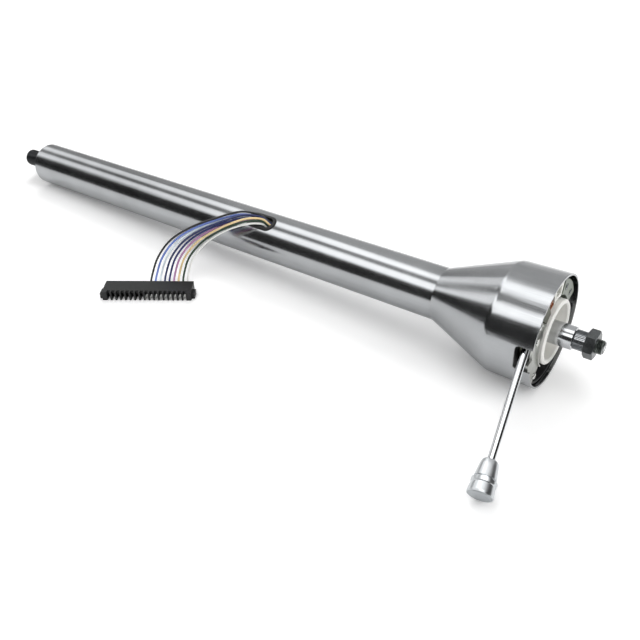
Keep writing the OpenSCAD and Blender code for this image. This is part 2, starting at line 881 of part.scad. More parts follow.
module switch_block() {
    color("#8e978c") difference() {
        ring_part(base_front_x, parts_front_x, block_in, block_out, block_angles[0], block_angles[1]);
        screw_holes(pocket_floor_x, rim_x - pocket_floor_x, pocket_ring, pocket_angles, spring_pocket_r);
    }
}

module block_springs() {
    color("#b9bcbf") for (angle = pocket_angles)
        at_ring(pocket_floor_x + block_wire_r + seat_gap, pocket_ring, angle)
            coil(block_spring_turns, spring_pocket_r - 1.7 * block_wire_r, block_wire_r,
                parts_front_x - pocket_floor_x - block_wire_r);
}

// Open frame beside the block
module switch_frame() {
    color("#d3d4d0") difference() {
        ring_part(base_front_x, parts_front_x, block_in, block_out, frame_angles[0], frame_angles[1]);
        ring_part(base_front_x + frame_edge, parts_front_x + cut_over, block_in + frame_edge,
            block_out - frame_edge, frame_angles[0] + frame_edge_angle, frame_angles[1] - frame_edge_angle);
    }
}

module contact_strips() {
    pitch = (block_out - block_in) / strip_count;
    color("#b06a3c") for (k = [0 : strip_count - 1])
        ring_part(base_front_x, parts_front_x - k / 2, block_in + k * pitch, block_in + (k + 0.6) * pitch,
            contact_angles[0], contact_angles[1]);
}

module switch_screws() {
    color("#c9cbcd") pan_screws(tube_end_x + housing_plate / 2, base_front_x,
        base_screw_ring, base_screw_angles, base_screw_r);
}

// Bracket over the lever's pivot, with its inner edge turned up round the cam
module pivot_bracket() {
    color("#c9cbc8") difference() {
        union() {
            ring_part(parts_front_x - bracket_thick, parts_front_x, bracket_in, bracket_out,
                bracket_from, bracket_to);
            ring_part(parts_front_x - bracket_thick, parts_front_x + bracket_flange_high,
                bracket_in, bracket_in + bracket_flange, bracket_from, bracket_to);
        }
        ring_part(parts_front_x - bracket_thick - cut_over, rim_x, bracket_relief_r,
            bracket_out + cut_over, bracket_relief[0], bracket_relief[1]);
        screw_holes(parts_front_x - bracket_thick - cut_over, bracket_thick + 2 * cut_over,
            bracket_screw_ring, bracket_screw_angles, bracket_screw_r + seat_gap);
        at_ring(parts_front_x - bracket_thick - cut_over, pivot_ring, pivot_angle)
            cylinder(h = bracket_thick + 2 * cut_over, r = pivot_pin_r + seat_gap);
    }
}

module bracket_screws() {
    color("#d6d8da") pan_screws(parts_front_x - 2.6 * bracket_thick, parts_front_x,
        bracket_screw_ring, bracket_screw_angles, bracket_screw_r);
}

module pivot_pin() {
    color("#d6d8da") {
        at_ring(base_back_x, pivot_ring, pivot_angle)
            cylinder(h = parts_front_x - base_back_x, r = pivot_pin_r);
        at_ring(parts_front_x, pivot_ring, pivot_angle)
            cylinder(h = pivot_head_high, r = pivot_head_r);
    }
}

// +Z runs out along the lever from its pivot
module along_lever() {
    translate(pivot_at) rotate([lever_down, 0, 0]) rotate([0, 0, lever_lean]) rotate([90, 0, 0])
        children();
}

// Arm on the pivot, with the lever's socket and the tail that the detent holds
module lever_arm() {
    boss_back_x = arm_back_x;
    boss_front_x = arm_front_x;
    color("#a9aca9") difference() {
        union() {
            at_ring(boss_back_x, pivot_ring, pivot_angle)
                cylinder(h = boss_front_x - boss_back_x, r = pivot_boss_r);
            intersection() {
                along_lever() cylinder(h = socket_length, r = socket_r);
                rod(boss_back_x, boss_front_x, bell_r);
            }
            ring_part(arm_back_x, arm_back_x + arm_tail_thick, arm_tail_in_r, arm_tail_out_r,
                arm_tail_to, pivot_angle);
        }
        along_lever() translate([0, 0, rod_start])
            cylinder(h = socket_length, r = lever_rod_d / 2 + seat_gap);
        at_ring(boss_back_x - cut_over, pivot_ring, pivot_angle)
            cylinder(h = boss_front_x - boss_back_x + 2 * cut_over, r = pivot_pin_r + running_gap);
    }
}

module lever_rod() {
    color("#d9dbdd") along_lever() translate([0, 0, rod_start + seat_gap])
        cylinder(h = knob_start + knob_length * knob_bore - rod_start - 2 * seat_gap, r = lever_rod_d / 2);
}

module lever_knob() {
    outline = [for (k = [0 : len(knob_length_shares) - 1])
        [knob_d / 2 * knob_radius_shares[k], knob_length * knob_length_shares[k]]];
    cap_floor = knob_length * (knob_cap_share - knob_cap_depth_share);
    cap_r = knob_d / 2 * knob_cap_r_share;
    color("#b6bbbf") along_lever() translate([0, 0, knob_start]) rotate_extrude() polygon(concat(
        [[lever_rod_d / 2 + seat_gap, 0]],
        outline,
        [[cap_r + seat_gap, knob_length * knob_cap_share], [cap_r + seat_gap, cap_floor], [0, cap_floor],
            [0, knob_length * knob_bore], [lever_rod_d / 2 + seat_gap, knob_length * knob_bore]]
    ));
}

module knob_cap() {
    cap_r = knob_d / 2 * knob_cap_r_share;
    from = knob_length * (knob_cap_share - knob_cap_depth_share) + seat_gap;
    edge = knob_length * knob_cap_share;
    color("#a5a9ac") along_lever() translate([0, 0, knob_start]) rotate_extrude() polygon([
        [0, from],
        [cap_r, from],
        [cap_r, edge],
        [cap_r * knob_dome_radii[0], knob_length * knob_dome_lengths[0]],
        [cap_r * knob_dome_radii[1], knob_length * knob_dome_lengths[1]],
        [0, knob_length]
    ]);
}

// Coil that loads the lever's detent, between the switch base and its outer wall
module detent_spring() {
    long = base_out_r - detent_ring - 2 * detent_wire_r;
    color("#b9bcbf") outwards(base_front_x + detent_coil_r + detent_wire_r + seat_gap, detent_angle)
        translate([0, 0, detent_ring]) coil(detent_turns, detent_coil_r, detent_wire_r, long);
}

module hazard_stem() {
    stem_end = bell_r + joint_gap + hazard_travel + hazard_knob_h / 2;
    color("#d9dbdd") outwards(hazard_x, hazard_angle) translate([0, 0, hazard_stem_in])
        cylinder(h = stem_end - hazard_stem_in, r = hazard_stem_r);
}

module hazard_knob() {
    foot = bell_r + joint_gap + hazard_travel;
    r = hazard_knob_d / 2;
    edge = r / 5;
    color("#1c1d1f") outwards(hazard_x, hazard_angle) translate([0, 0, foot]) rotate_extrude() polygon([
        [hazard_stem_r + seat_gap, 0],
        [r - edge, 0],
        [r, edge],
        [r, hazard_knob_h - edge],
        [r - edge, hazard_knob_h],
        [0, hazard_knob_h],
        [0, hazard_knob_h / 2 + seat_gap],
        [hazard_stem_r + seat_gap, hazard_knob_h / 2 + seat_gap]
    ]);
}

// Rubber grommet round the edge of the wire slot
module harness_grommet() {
    x = tube_start + slot_place;
    opening_length = slot_length - 2 * grommet_wall;
    opening_width = slot_width - 2 * grommet_wall;
    inner_lip = grommet_high * grommet_inner_share;
    color("#121314") difference() {
        union() {
            lip_ring(x, slot_length + 2 * grommet_lip, slot_width + 2 * grommet_lip,
                tube_r + seat_gap, tube_r + grommet_high);
            lip_ring(x, slot_length - 2 * seat_gap, slot_width - 2 * seat_gap,
                tube_bore_r - inner_lip, tube_r + grommet_high);
            lip_ring(x, slot_length + grommet_lip, slot_width + grommet_lip,
                tube_bore_r - inner_lip, tube_bore_r - seat_gap);
        }
        outwards(x, slot_angle) translate([0, 0, tube_r / 2])
            round_bar(opening_length, opening_width, tube_r);
    }
}

// Piece of a round shell inside an oblong outline at the wire slot
module lip_ring(x, length, width, inner, outer) {
    intersection() {
        ring(x - slot_length, x + slot_length, inner, outer);
        outwards(x, slot_angle) translate([0, 0, tube_r / 2]) round_bar(length, width, tube_r);
    }
}

// Taped wiring from the wire slot up the tube to the switch
module harness_run() {
    color("#202224") outwards(0, run_angle) {
        translate([run_start_x, -run_wide / 2, run_ring - run_high / 2])
            cube([riser_x + riser_long - run_start_x, run_wide, run_high]);
        translate([riser_x, -run_wide / 2, run_ring])
            cube([riser_long, run_wide, riser_ring + riser_high / 2 - run_ring]);
        translate([riser_x, -run_wide / 2, riser_ring - riser_high / 2])
            cube([base_mid_x - riser_x, run_wide, riser_high]);
    }
}

function unit(v) = v / norm(v);
function heading(way, k) = unit(way[min(k + 1, len(way) - 1)] - way[max(k - 1, 0)]);
function layer_up(k) = unit(cross(heading(middle_way, k), last_way[k] - first_way[k]));
function wire_way(i) = [for (k = [0 : len(first_way) - 1])
    first_way[k] + (last_way[k] - first_way[k]) * i / (wire_count - 1)
        + layer_way[k] * (1 - i % 3) * layer_up(k)];

// Round tube swept along a way
module swept(way, r) {
    loft([for (k = [0 : len(way) - 1])
        let (
            ahead = heading(way, k),
            side = unit(cross(ahead, ring_guide)),
            up = cross(side, ahead)
        )
        [for (s = [0 : wire_sides - 1])
            let (turn = -360 * s / wire_sides)
            way[k] + r * (cos(turn) * side + sin(turn) * up)]]);
}

module wire(i) color(wire_tints[i]) swept(wire_way(i), wire_d / 2);

// +X along the plug from its rear left foot, +Y towards its comb
module at_plug() {
    translate([plug_at[0], plug_at[1], floor_z]) rotate([0, 0, plug_turn]) mirror([0, 1, 0]) children();
}

module plug_shell() {
    gap = contact_pitch - fin_thick;
    first_gap = (plug_body - (gap_count - 1) * contact_pitch) / 2;
    ear_deep = plug_depth * plug_ear_share;
    color("#151617") at_plug() difference() {
        union() {
            cube([plug_body, plug_depth, plug_height]);
            for (side = [-plug_ear, plug_body])
                translate([side, plug_depth - ear_deep - comb_depth / 2, 0])
                    cube([plug_ear, ear_deep, plug_height * plug_ear_high_share]);
        }
        for (k = [0 : gap_count - 1]) translate([first_gap + k * contact_pitch - gap / 2, 0, 0]) {
            translate([0, plug_depth - comb_depth, -cut_over])
                cube([gap, comb_depth + cut_over, plug_height * (1 - comb_shelf_share) + cut_over]);
            translate([0, plug_depth - comb_depth + comb_shelf, -cut_over])
                cube([gap, comb_depth, plug_height + 2 * cut_over]);
        }
    }
}

// Contacts lie in the comb's gaps, one for each wire
module plug_contacts() {
    middle = plug_body / 2;
    color("#d4d6d8") at_plug() for (i = [0 : wire_count - 1])
        translate([middle + i * contact_pitch - contact_w / 2, plug_depth - comb_depth, contact_rise])
            cube([contact_w, comb_depth - seat_gap, contact_h]);
}

laid() column_tube();
laid() bell();
laid() tube_end_plate();
laid() bearing_housing();
laid() housing_screws();
laid() foot_plug();
laid() lower_outer_race();
laid() lower_balls();
laid() lower_inner_race();
laid() upper_outer_race();
laid() upper_balls();
laid() upper_inner_race();
laid() race_seat();
laid() preload_spring();
laid() retaining_ring();
laid() lower_shaft();
laid() upper_shaft();
laid() shear_pins();
laid() cancel_cam();
laid() horn_ring();
laid() horn_brush();
laid() wheel_nut();
laid() switch_base();
laid() switch_block();
laid() block_springs();
laid() switch_frame();
laid() contact_strips();
laid() switch_screws();
laid() pivot_bracket();
laid() bracket_screws();
laid() pivot_pin();
laid() lever_arm();
laid() lever_rod();
laid() lever_knob();
laid() knob_cap();
laid() detent_spring();
laid() hazard_stem();
laid() hazard_knob();
laid() harness_grommet();
laid() harness_run();
wire(0);  // wire_1
wire(1);  // wire_2
wire(2);  // wire_3
wire(3);  // wire_4
wire(4);  // wire_5
wire(5);  // wire_6
wire(6);  // wire_7
wire(7);  // wire_8
wire(8);  // wire_9
plug_shell();
plug_contacts();
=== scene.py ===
# Steering column with its turn lever and wiring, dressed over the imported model.
import math

import bmesh
import bpy
from mathutils import Matrix, Vector


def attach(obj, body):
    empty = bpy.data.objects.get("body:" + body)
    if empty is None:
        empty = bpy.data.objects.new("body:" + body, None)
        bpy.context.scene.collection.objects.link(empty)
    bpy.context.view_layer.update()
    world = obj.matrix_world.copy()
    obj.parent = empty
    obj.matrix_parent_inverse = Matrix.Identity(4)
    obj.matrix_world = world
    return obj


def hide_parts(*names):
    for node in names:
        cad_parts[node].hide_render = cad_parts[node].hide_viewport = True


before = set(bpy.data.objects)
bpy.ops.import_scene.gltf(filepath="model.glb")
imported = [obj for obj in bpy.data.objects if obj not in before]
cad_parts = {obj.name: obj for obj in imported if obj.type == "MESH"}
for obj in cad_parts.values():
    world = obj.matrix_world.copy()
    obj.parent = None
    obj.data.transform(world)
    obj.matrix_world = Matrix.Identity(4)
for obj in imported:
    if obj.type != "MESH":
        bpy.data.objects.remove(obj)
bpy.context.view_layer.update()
scene = bpy.context.scene
mm = 0.001

# The column lies tipped; its own frame is turned about Y by this much
columnTilt = math.radians(2.26001)
layDown = Matrix.Rotation(-columnTilt, 4, "Y")
rimX = 735.9
floorZ = -0.02368456


def linearColour(hexText):
    parts = [int(hexText[k:k + 2], 16) / 255 for k in (1, 3, 5)]
    return (*[c / 12.92 if c <= 0.04045 else ((c + 0.055) / 1.055) ** 2.4 for c in parts], 1.0)


def addNode(tree, kind, settings=None, inputs=None):
    made = tree.nodes.new(kind)
    for name, value in (settings or {}).items():
        setattr(made, name, value)
    for name, value in (inputs or {}).items():
        if isinstance(value, bpy.types.NodeSocket):
            tree.links.new(value, made.inputs[name])
        else:
            made.inputs[name].default_value = value
    return made


def maths(tree, operation, first, second=0.0):
    return addNode(tree, "ShaderNodeMath", {"operation": operation}, {0: first, 1: second}).outputs[0]


def noiseOf(tree, place, scale, detail=4.0, rough=0.5):
    made = addNode(tree, "ShaderNodeTexNoise", None,
                   {"Vector": place, "Scale": scale, "Detail": detail, "Roughness": rough})
    return made.outputs["Fac"]


def setRamp(ramp, stops):
    elements = ramp.color_ramp.elements
    while len(elements) < len(stops):
        elements.new(0.5)
    for element, (place, colour) in zip(elements, stops):
        element.position = place
        element.color = colour


def grey(value):
    return (value, value, value, 1.0)


def startMaterial(name):
    material = bpy.data.materials.new(name)
    material.use_nodes = True
    tree = material.node_tree
    tree.nodes.clear()
    shader = addNode(tree, "ShaderNodeBsdfPrincipled")
    addNode(tree, "ShaderNodeOutputMaterial", None, {"Surface": shader.outputs[0]})
    return material, tree, shader


# Gives a shader its colour between two tones, its roughness and its relief; share says where a tone lies
def coat(tree, shader, share, look, colours=(0.32, 0.68), sheens=(0.3, 0.7), relief=None, depth=0.0001):
    tones = look.get("tones") or [linearColour(look["dark"]), linearColour(look["light"])]
    ramp = addNode(tree, "ShaderNodeValToRGB", None, {"Fac": share})
    setRamp(ramp, list(zip(colours, tones)))
    rough = addNode(tree, "ShaderNodeMapRange", None,
                    {"Value": share, "From Min": sheens[0], "From Max": sheens[1], "To Min": look["rough"][0],
                     "To Max": look["rough"][1]})
    bump = addNode(tree, "ShaderNodeBump", None, {"Height": relief, "Strength": look["bump"], "Distance": depth})
    tree.links.new(ramp.outputs[0], shader.inputs["Base Color"])
    tree.links.new(rough.outputs[0], shader.inputs["Roughness"])
    tree.links.new(bump.outputs[0], shader.inputs["Normal"])


# Object coordinates turned into the column's own frame, so that patterns run true along it
def columnPlace(tree):
    place = addNode(tree, "ShaderNodeTexCoord")
    turned = addNode(tree, "ShaderNodeMapping", None,
                     {"Vector": place.outputs["Object"], "Rotation": (0, columnTilt, 0)})
    return turned.outputs[0]


# Camera first: where the photograph was taken from
view = {
    "place": (0.86384718, -0.51035893, 0.39738851),
    "right": (0.8053232, 0.59283363, -0.00168168),
    "up": (-0.34836616, 0.4755226, 0.80778665),
    "looks": (-0.47968277, 0.64994349, -0.58947256),
    "lens": 40.382,
    "sensor": 36.0,
}
cameraData = bpy.data.cameras.new("viewCamera")
cameraData.lens = view["lens"]
cameraData.sensor_width = view["sensor"]
cameraData.clip_start = 0.01
cameraData.clip_end = 60
camera = bpy.data.objects.new("viewCamera", cameraData)
scene.collection.objects.link(camera)
camera.location = view["place"]
turnedTo = Matrix((view["right"], view["up"], [-c for c in view["looks"]])).transposed()
camera.rotation_euler = turnedTo.to_euler()
scene.camera = camera
print("camera is set")

# Nine insulated wires from the grommet to the plug, by the same rule as their solids
wiring = {
    "diameter": 2.2,
    "firstWay": [(436, -0.8, 34.2), (426, -6.8, 37.6), (416.5, -9.5, 42.8), (401, -20.5, 47.2), (385, -38, 44.2),
                 (364, -57, 35.4), (347, -73, 21.6), (338, -86, 3.8), (337.5, -97, -13), (344.7, -107.5, -18.6)],
    "lastWay": [(436, -7.8, 32.2), (429.5, -11, 35.6), (423.5, -14.5, 41), (413.5, -25, 42), (401, -37, 37.2),
                (389, -46.5, 29), (377, -55, 17.5), (368, -65, 1.5), (369, -75, -13), (376.5, -84.6, -18.6)],
    "layerWay": [2.3, 2.3, 2.3, 2.3, 1.9, 1.1, 0.4, 0, 0, 0],
    "steps": 5,
    "ior": 1.53,
    "tints": ["#1a1a1c", "#6f86d0", "#e4eff6", "#26305e", "#1f2766", "#b583b0", "#ead09c", "#1f3a2a",
              "#f4f4f0"],
}


def heading(way, k):
    return (way[min(k + 1, len(way) - 1)] - way[max(k - 1, 0)]).normalized()


def wireWay(number):
    first = [Vector(p) for p in wiring["firstWay"]]
    last = [Vector(p) for p in wiring["lastWay"]]
    middle = [(a + b) / 2 for a, b in zip(first, last)]
    share = number / (len(wiring["tints"]) - 1)
    way = []
    for k, (a, b) in enumerate(zip(first, last)):
        up = heading(middle, k).cross(b - a).normalized()
        way.append(a.lerp(b, share) + wiring["layerWay"][k] * (1 - number % 3) * up)
    return way


# Points of a smooth curve through the given ones
def smoothWay(way, steps):
    points = []
    ends = [2 * way[0] - way[1], *way, 2 * way[-1] - way[-2]]
    for k in range(1, len(ends) - 2):
        a, b, c, d = ends[k - 1:k + 3]
        for step in range(steps):
            t = step / steps
            points.append(0.5 * ((2 * b) + (c - a) * t + (2 * a - 5 * b + 4 * c - d) * t * t
                                 + (3 * b - a - 3 * c + d) * t ** 3))
    return points + [way[-1].copy()]


# Extruded PVC insulation: glossy, a little uneven in tone, with faint ripples along it
def insulation(tint):
    material, tree, shader = startMaterial("pvcInsulation")
    place = addNode(tree, "ShaderNodeTexCoord").outputs["Object"]
    base = linearColour(tint)[:3]
    look = {"tones": [(*[0.92 * c for c in base], 1), (*[min(1, 1.12 * c + 0.004) for c in base], 1)],
            "rough": (0.26, 0.42), "bump": 0.12}
    coat(tree, shader, noiseOf(tree, place, 90.0, 3.0), look, (0.3, 0.7), (0.0, 1.0),
         noiseOf(tree, place, 700.0, 2.0), 0.0002)
    shader.inputs["IOR"].default_value = wiring["ior"]
    return material


for number, tint in enumerate(wiring["tints"]):
    points = smoothWay([p * mm for p in wireWay(number)], wiring["steps"])
    curve = bpy.data.curves.new("wire%d" % (number + 1), "CURVE")
    curve.dimensions = "3D"
    curve.bevel_depth = wiring["diameter"] * mm / 2
    curve.bevel_resolution = 4
    curve.use_fill_caps = True
    spline = curve.splines.new("POLY")
    spline.points.add(len(points) - 1)
    for slotPoint, point in zip(spline.points, points):
        slotPoint.co = (*point, 1)
    spline.use_smooth = True
    wire = bpy.data.objects.new("wire%d" % (number + 1), curve)
    scene.collection.objects.link(wire)
    curve.materials.append(insulation(tint))
    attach(wire, "column")
    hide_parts("wire_%d" % (number + 1))
print("wires are laid")

# Floor, soft lamps, and the long bright and dark screens that polished metal mirrors
studio = {
    "floorSize": 30.0,
    "floorColour": "#ffffff",
    "floorGlow": 0.15,   # only for the camera, which sees the paper burnt out to white
    "worldLight": 0.42,
    "tentRadius": 6.0,
    "tentLength": 48.0,
    # angle from the lever's horizon over the top, and how bright the screen is there
    "screens": [(0, 0.03), (33, 0.04), (38, 2.4), (57, 2.4), (63, 0.26), (75, 0.34), (82, 2.0), (88, 2.45),
                (104, 2.4), (110, 0.85), (117, 0.68), (165, 0.6), (180, 0.74)],
    # how far down the tent towards the foot, in radii: the screens lie this many degrees further over there
    "lean": [(-0.15, -6.0), (-0.35, 0.0), (-0.6, 10.5), (-1.03, 17.0), (-1.3, 20.8), (-1.62, 22.0), (-1.95, 11.0),
             (-2.3, 8.0)],
    # and this share of that at each angle, because they are not parallel
    "splay": [(0, 0.5), (45, 0.68), (75, 1.02), (100, 1.2), (130, 1.25), (180, 1.25)],
    # and shine this strongly; past both ends the room is dark
    "fall": [(-3.2, 0.04), (-2.6, 0.7), (-2.0, 0.84), (-1.55, 0.75), (-1.3, 0.52), (-1.0, 0.68), (-0.6, 1.0),
             (0.55, 1.0), (0.95, 0.04)],
    "darkWall": {"away": 0.42, "high": 0.07, "length": 8, "glow": 0.03},
}


def makeObject(name, mesh):
    made = bpy.data.objects.new(name, mesh)
    scene.collection.objects.link(made)
    return made


def makeFloor():
    half = studio["floorSize"] / 2
    mesh = bpy.data.meshes.new("floor")
    mesh.from_pydata([(-half, -half, floorZ), (half, -half, floorZ), (half, half, floorZ), (-half, half, floorZ)],
                     [], [(0, 1, 2, 3)])
    material, tree, shader = startMaterial("paperSweep")
    shader.inputs["Base Color"].default_value = linearColour(studio["floorColour"])
    shader.inputs["Roughness"].default_value = 0.95
    shader.inputs["Specular IOR Level"].default_value = 0.0
    shader.inputs["Emission Color"].default_value = grey(1.0)
    fromCamera = addNode(tree, "ShaderNodeLightPath").outputs["Is Camera Ray"]
    tree.links.new(maths(tree, "MULTIPLY", fromCamera, studio["floorGlow"]), shader.inputs["Emission Strength"])
    mesh.materials.append(material)
    makeObject("floor", mesh)


# 1 for rays that the camera, a mirror or glass sends out
def seenDirectly(tree):
    rays = addNode(tree, "ShaderNodeLightPath").outputs
    seen = maths(tree, "MAXIMUM", rays["Is Camera Ray"], rays["Is Glossy Ray"])
    return maths(tree, "MAXIMUM", seen, rays["Is Transmission Ray"])


# A ramp over any range of numbers
def rampOf(tree, value, stops, top):
    low, high = stops[0][0], stops[-1][0]
    share = addNode(tree, "ShaderNodeMapRange", None, {"Value": value, "From Min": low, "From Max": high})
    ramp = addNode(tree, "ShaderNodeValToRGB", None, {"Fac": share.outputs[0]})
    setRamp(ramp, [((place - low) / (high - low), grey(amount / top)) for place, amount in stops])
    return maths(tree, "MULTIPLY", ramp.outputs[0], top)


def hideFromAllButGloss(piece):
    piece.visible_camera = False
    piece.visible_diffuse = False
    piece.visible_shadow = False


def glowingMaterial(name):
    material = bpy.data.materials.new(name)
    material.use_nodes = True
    tree = material.node_tree
    tree.nodes.clear()
    glow = addNode(tree, "ShaderNodeEmission")
    addNode(tree, "ShaderNodeOutputMaterial", None, {"Surface": glow.outputs[0]})
    return material, tree, glow


def makeScreens():
    radius, half, parts = studio["tentRadius"], studio["tentLength"] / 2, 64
    vertices, faces = [], []
    for k in range(parts + 1):
        turn = math.pi * k / parts
        for x in (-half, half):
            vertices.append((x, -radius * math.cos(turn), radius * math.sin(turn)))
    for k in range(parts):
        faces.append((2 * k, 2 * k + 1, 2 * k + 3, 2 * k + 2))
    mesh = bpy.data.meshes.new("screens")
    mesh.from_pydata(vertices, [], faces)
    material, tree, glow = glowingMaterial("studioScreens")
    place = addNode(tree, "ShaderNodeSeparateXYZ", None,
                    {"Vector": addNode(tree, "ShaderNodeTexCoord").outputs["Object"]})
    turned = maths(tree, "MULTIPLY", place.outputs["Y"], -1.0)
    degrees = maths(tree, "DEGREES", maths(tree, "ARCTAN2", place.outputs["Z"], turned))
    down = maths(tree, "DIVIDE", place.outputs["X"], radius)
    # a ramp holds no negative numbers, so the lean is raised by its least value and brought down again
    least = min(turn for slope, turn in studio["lean"])
    lean = rampOf(tree, maths(tree, "MULTIPLY", down, -1.0),
                  [(-slope, turn - least) for slope, turn in studio["lean"]], 30.0)
    shift = maths(tree, "MULTIPLY", maths(tree, "ADD", lean, least), rampOf(tree, degrees, studio["splay"], 2.0))
    bright = rampOf(tree, maths(tree, "SUBTRACT", degrees, shift), studio["screens"], 2.5)
    shine = maths(tree, "MULTIPLY", bright, rampOf(tree, down, studio["fall"], 1.0))
    tree.links.new(shine, glow.inputs["Strength"])
    mesh.materials.append(material)
    hideFromAllButGloss(makeObject("screens", mesh))
    # a low black board near the lever's side, whose edge ends the floor's reflection
    board = studio["darkWall"]
    strip = bpy.data.meshes.new("darkBoard")
    half, y = board["length"] / 2, -board["away"]
    strip.from_pydata([(-half, y, floorZ), (half, y, floorZ), (half, y, board["high"]), (-half, y, board["high"])],
                      [], [(0, 1, 2, 3)])
    black, tree, glow = glowingMaterial("blackBoard")
    glow.inputs["Strength"].default_value = board["glow"]
    strip.materials.append(black)
    hideFromAllButGloss(makeObject("darkBoard", strip))


def makeLamps():
    lamps = [
        {"name": "lampAbove", "place": (0.3, -0.6, 2.2), "aims": (0.4, 0, 0), "size": 2.4, "power": 26.0},
        {"name": "lampBehind", "place": (-0.7, 1.3, 1.7), "aims": (0.5, 0, 0), "size": 1.3, "power": 26.0},
        {"name": "lampAtHead", "place": (2.0, 0.1, 0.9), "aims": (0.74, 0, 0), "size": 1.2, "power": 11.0},
    ]
    for lamp in lamps:
        data = bpy.data.lights.new(lamp["name"], "AREA")
        data.shape = "SQUARE"
        data.size = lamp["size"]
        data.energy = lamp["power"]
        light = bpy.data.objects.new(lamp["name"], data)
        scene.collection.objects.link(light)
        light.location = lamp["place"]
        aim = Vector(lamp["aims"]) - Vector(lamp["place"])
        light.rotation_euler = aim.to_track_quat("-Z", "Y").to_euler()
        light.visible_glossy = False


def makeWorld():
    world = bpy.data.worlds.new("paleRoom")
    world.use_nodes = True
    tree = world.node_tree
    tree.nodes.clear()
    strength = addNode(tree, "ShaderNodeMapRange", None,
                       {"Value": seenDirectly(tree), "To Min": studio["worldLight"], "To Max": 1.0})
    sky = addNode(tree, "ShaderNodeBackground", None, {"Strength": strength.outputs[0]})
    addNode(tree, "ShaderNodeOutputWorld", None, {"Surface": sky.outputs[0]})
    scene.world = world


makeFloor()
makeScreens()
makeLamps()
makeWorld()
scene.view_settings.view_transform = "Standard"
print("studio is set")


# Metal with fine marks that run along the column or round it, and cloudy wear
def workedMetal(name, look):
    material, tree, shader = startMaterial(name)
    place = columnPlace(tree)
    marks = addNode(tree, "ShaderNodeMapping", None, {"Vector": place, "Scale": look.get("marks", evenMarks)})
    lines = noiseOf(tree, marks.outputs[0], 1.0, 4.0, 0.65)
    mixed = addNode(tree, "ShaderNodeMix", {"data_type": "FLOAT"},
                    {"Factor": 0.5, "A": lines, "B": noiseOf(tree, place, look["cloud"], 4.0, 0.6)})
    coat(tree, shader, mixed.outputs[0], look, (0.34, 0.66), relief=lines)
    shader.inputs["Metallic"].default_value = 1.0
    return material


# Moulded plastic, rubber or nylon: fine grain, slightly uneven sheen
def mouldedPlastic(name, look):
    material, tree, shader = startMaterial(name)
    place = addNode(tree, "ShaderNodeTexCoord").outputs["Object"]
    coat(tree, shader, noiseOf(tree, place, look["cloud"]), look, relief=noiseOf(tree, place, look["grain"], 3.0))
    return material


alongMarks = (6.0, 1500.0, 1500.0)   # drawn or ground lengthwise, lines about 0.7 mm apart
roundMarks = (2200.0, 25.0, 25.0)    # turned on a lathe, about 0.5 mm feed
evenMarks = (900.0, 900.0, 900.0)
metals = {
    "drawnSteel": {"dark": "#a0a2a4", "light": "#b2b4b6", "rough": (0.15, 0.22), "marks": alongMarks,
                   "cloud": 22.0, "bump": 0.05},
    "platedSteel": {"dark": "#8e9194", "light": "#a6a9ab", "rough": (0.28, 0.42),
                    "cloud": 60.0, "bump": 0.1},
    "groundSteel": {"dark": "#b9bbbd", "light": "#cfd1d3", "rough": (0.1, 0.18), "marks": roundMarks,
                    "cloud": 80.0, "bump": 0.05},
    "oiledSteel": {"dark": "#2c2d2f", "light": "#46484a", "rough": (0.32, 0.46), "marks": roundMarks,
                   "cloud": 120.0, "bump": 0.12},
    "hobbedSteel": {"dark": "#6f7275", "light": "#8e9194", "rough": (0.26, 0.36), "marks": alongMarks,
                    "cloud": 140.0, "bump": 0.1},
    "rolledThread": {"dark": "#4b504d", "light": "#6b716d", "rough": (0.24, 0.36),
                     "cloud": 200.0, "bump": 0.08},
    "blackOxide": {"dark": "#56595a", "light": "#787b7c", "rough": (0.26, 0.38),
                   "cloud": 130.0, "bump": 0.12},
    "brightZinc": {"dark": "#c3c5c2", "light": "#dcddda", "rough": (0.18, 0.3),
                   "cloud": 180.0, "bump": 0.06},
    "satinCap": {"dark": "#a9adb0", "light": "#bec2c4", "rough": (0.4, 0.5),
                 "cloud": 90.0, "bump": 0.06},
    "chromePlate": {"dark": "#d6d8da", "light": "#e2e4e6", "rough": (0.06, 0.1), "marks": roundMarks,
                    "cloud": 40.0, "bump": 0.01},
    "castZinc": {"dark": "#5b5d52", "light": "#7d7f73", "rough": (0.42, 0.6),
                 "cloud": 160.0, "bump": 0.35},
    "zincPlate": {"dark": "#b4b6b2", "light": "#cfd0cc", "rough": (0.3, 0.42),
                  "cloud": 150.0, "bump": 0.1},
    "springWire": {"dark": "#8d9092", "light": "#b5b8ba", "rough": (0.2, 0.3),
                   "cloud": 200.0, "bump": 0.05},
    "turnedAluminium": {"dark": "#c6cacc", "light": "#dcdfe1", "rough": (0.26, 0.34), "marks": roundMarks,
                        "cloud": 60.0, "bump": 0.08},
    "copperStrip": {"dark": "#8a4a2c", "light": "#b06a40", "rough": (0.3, 0.45),
                    "cloud": 120.0, "bump": 0.1},
    "tinPlate": {"dark": "#b4b5b3", "light": "#d0d1cf", "rough": (0.25, 0.35),
                 "cloud": 200.0, "bump": 0.05},
}
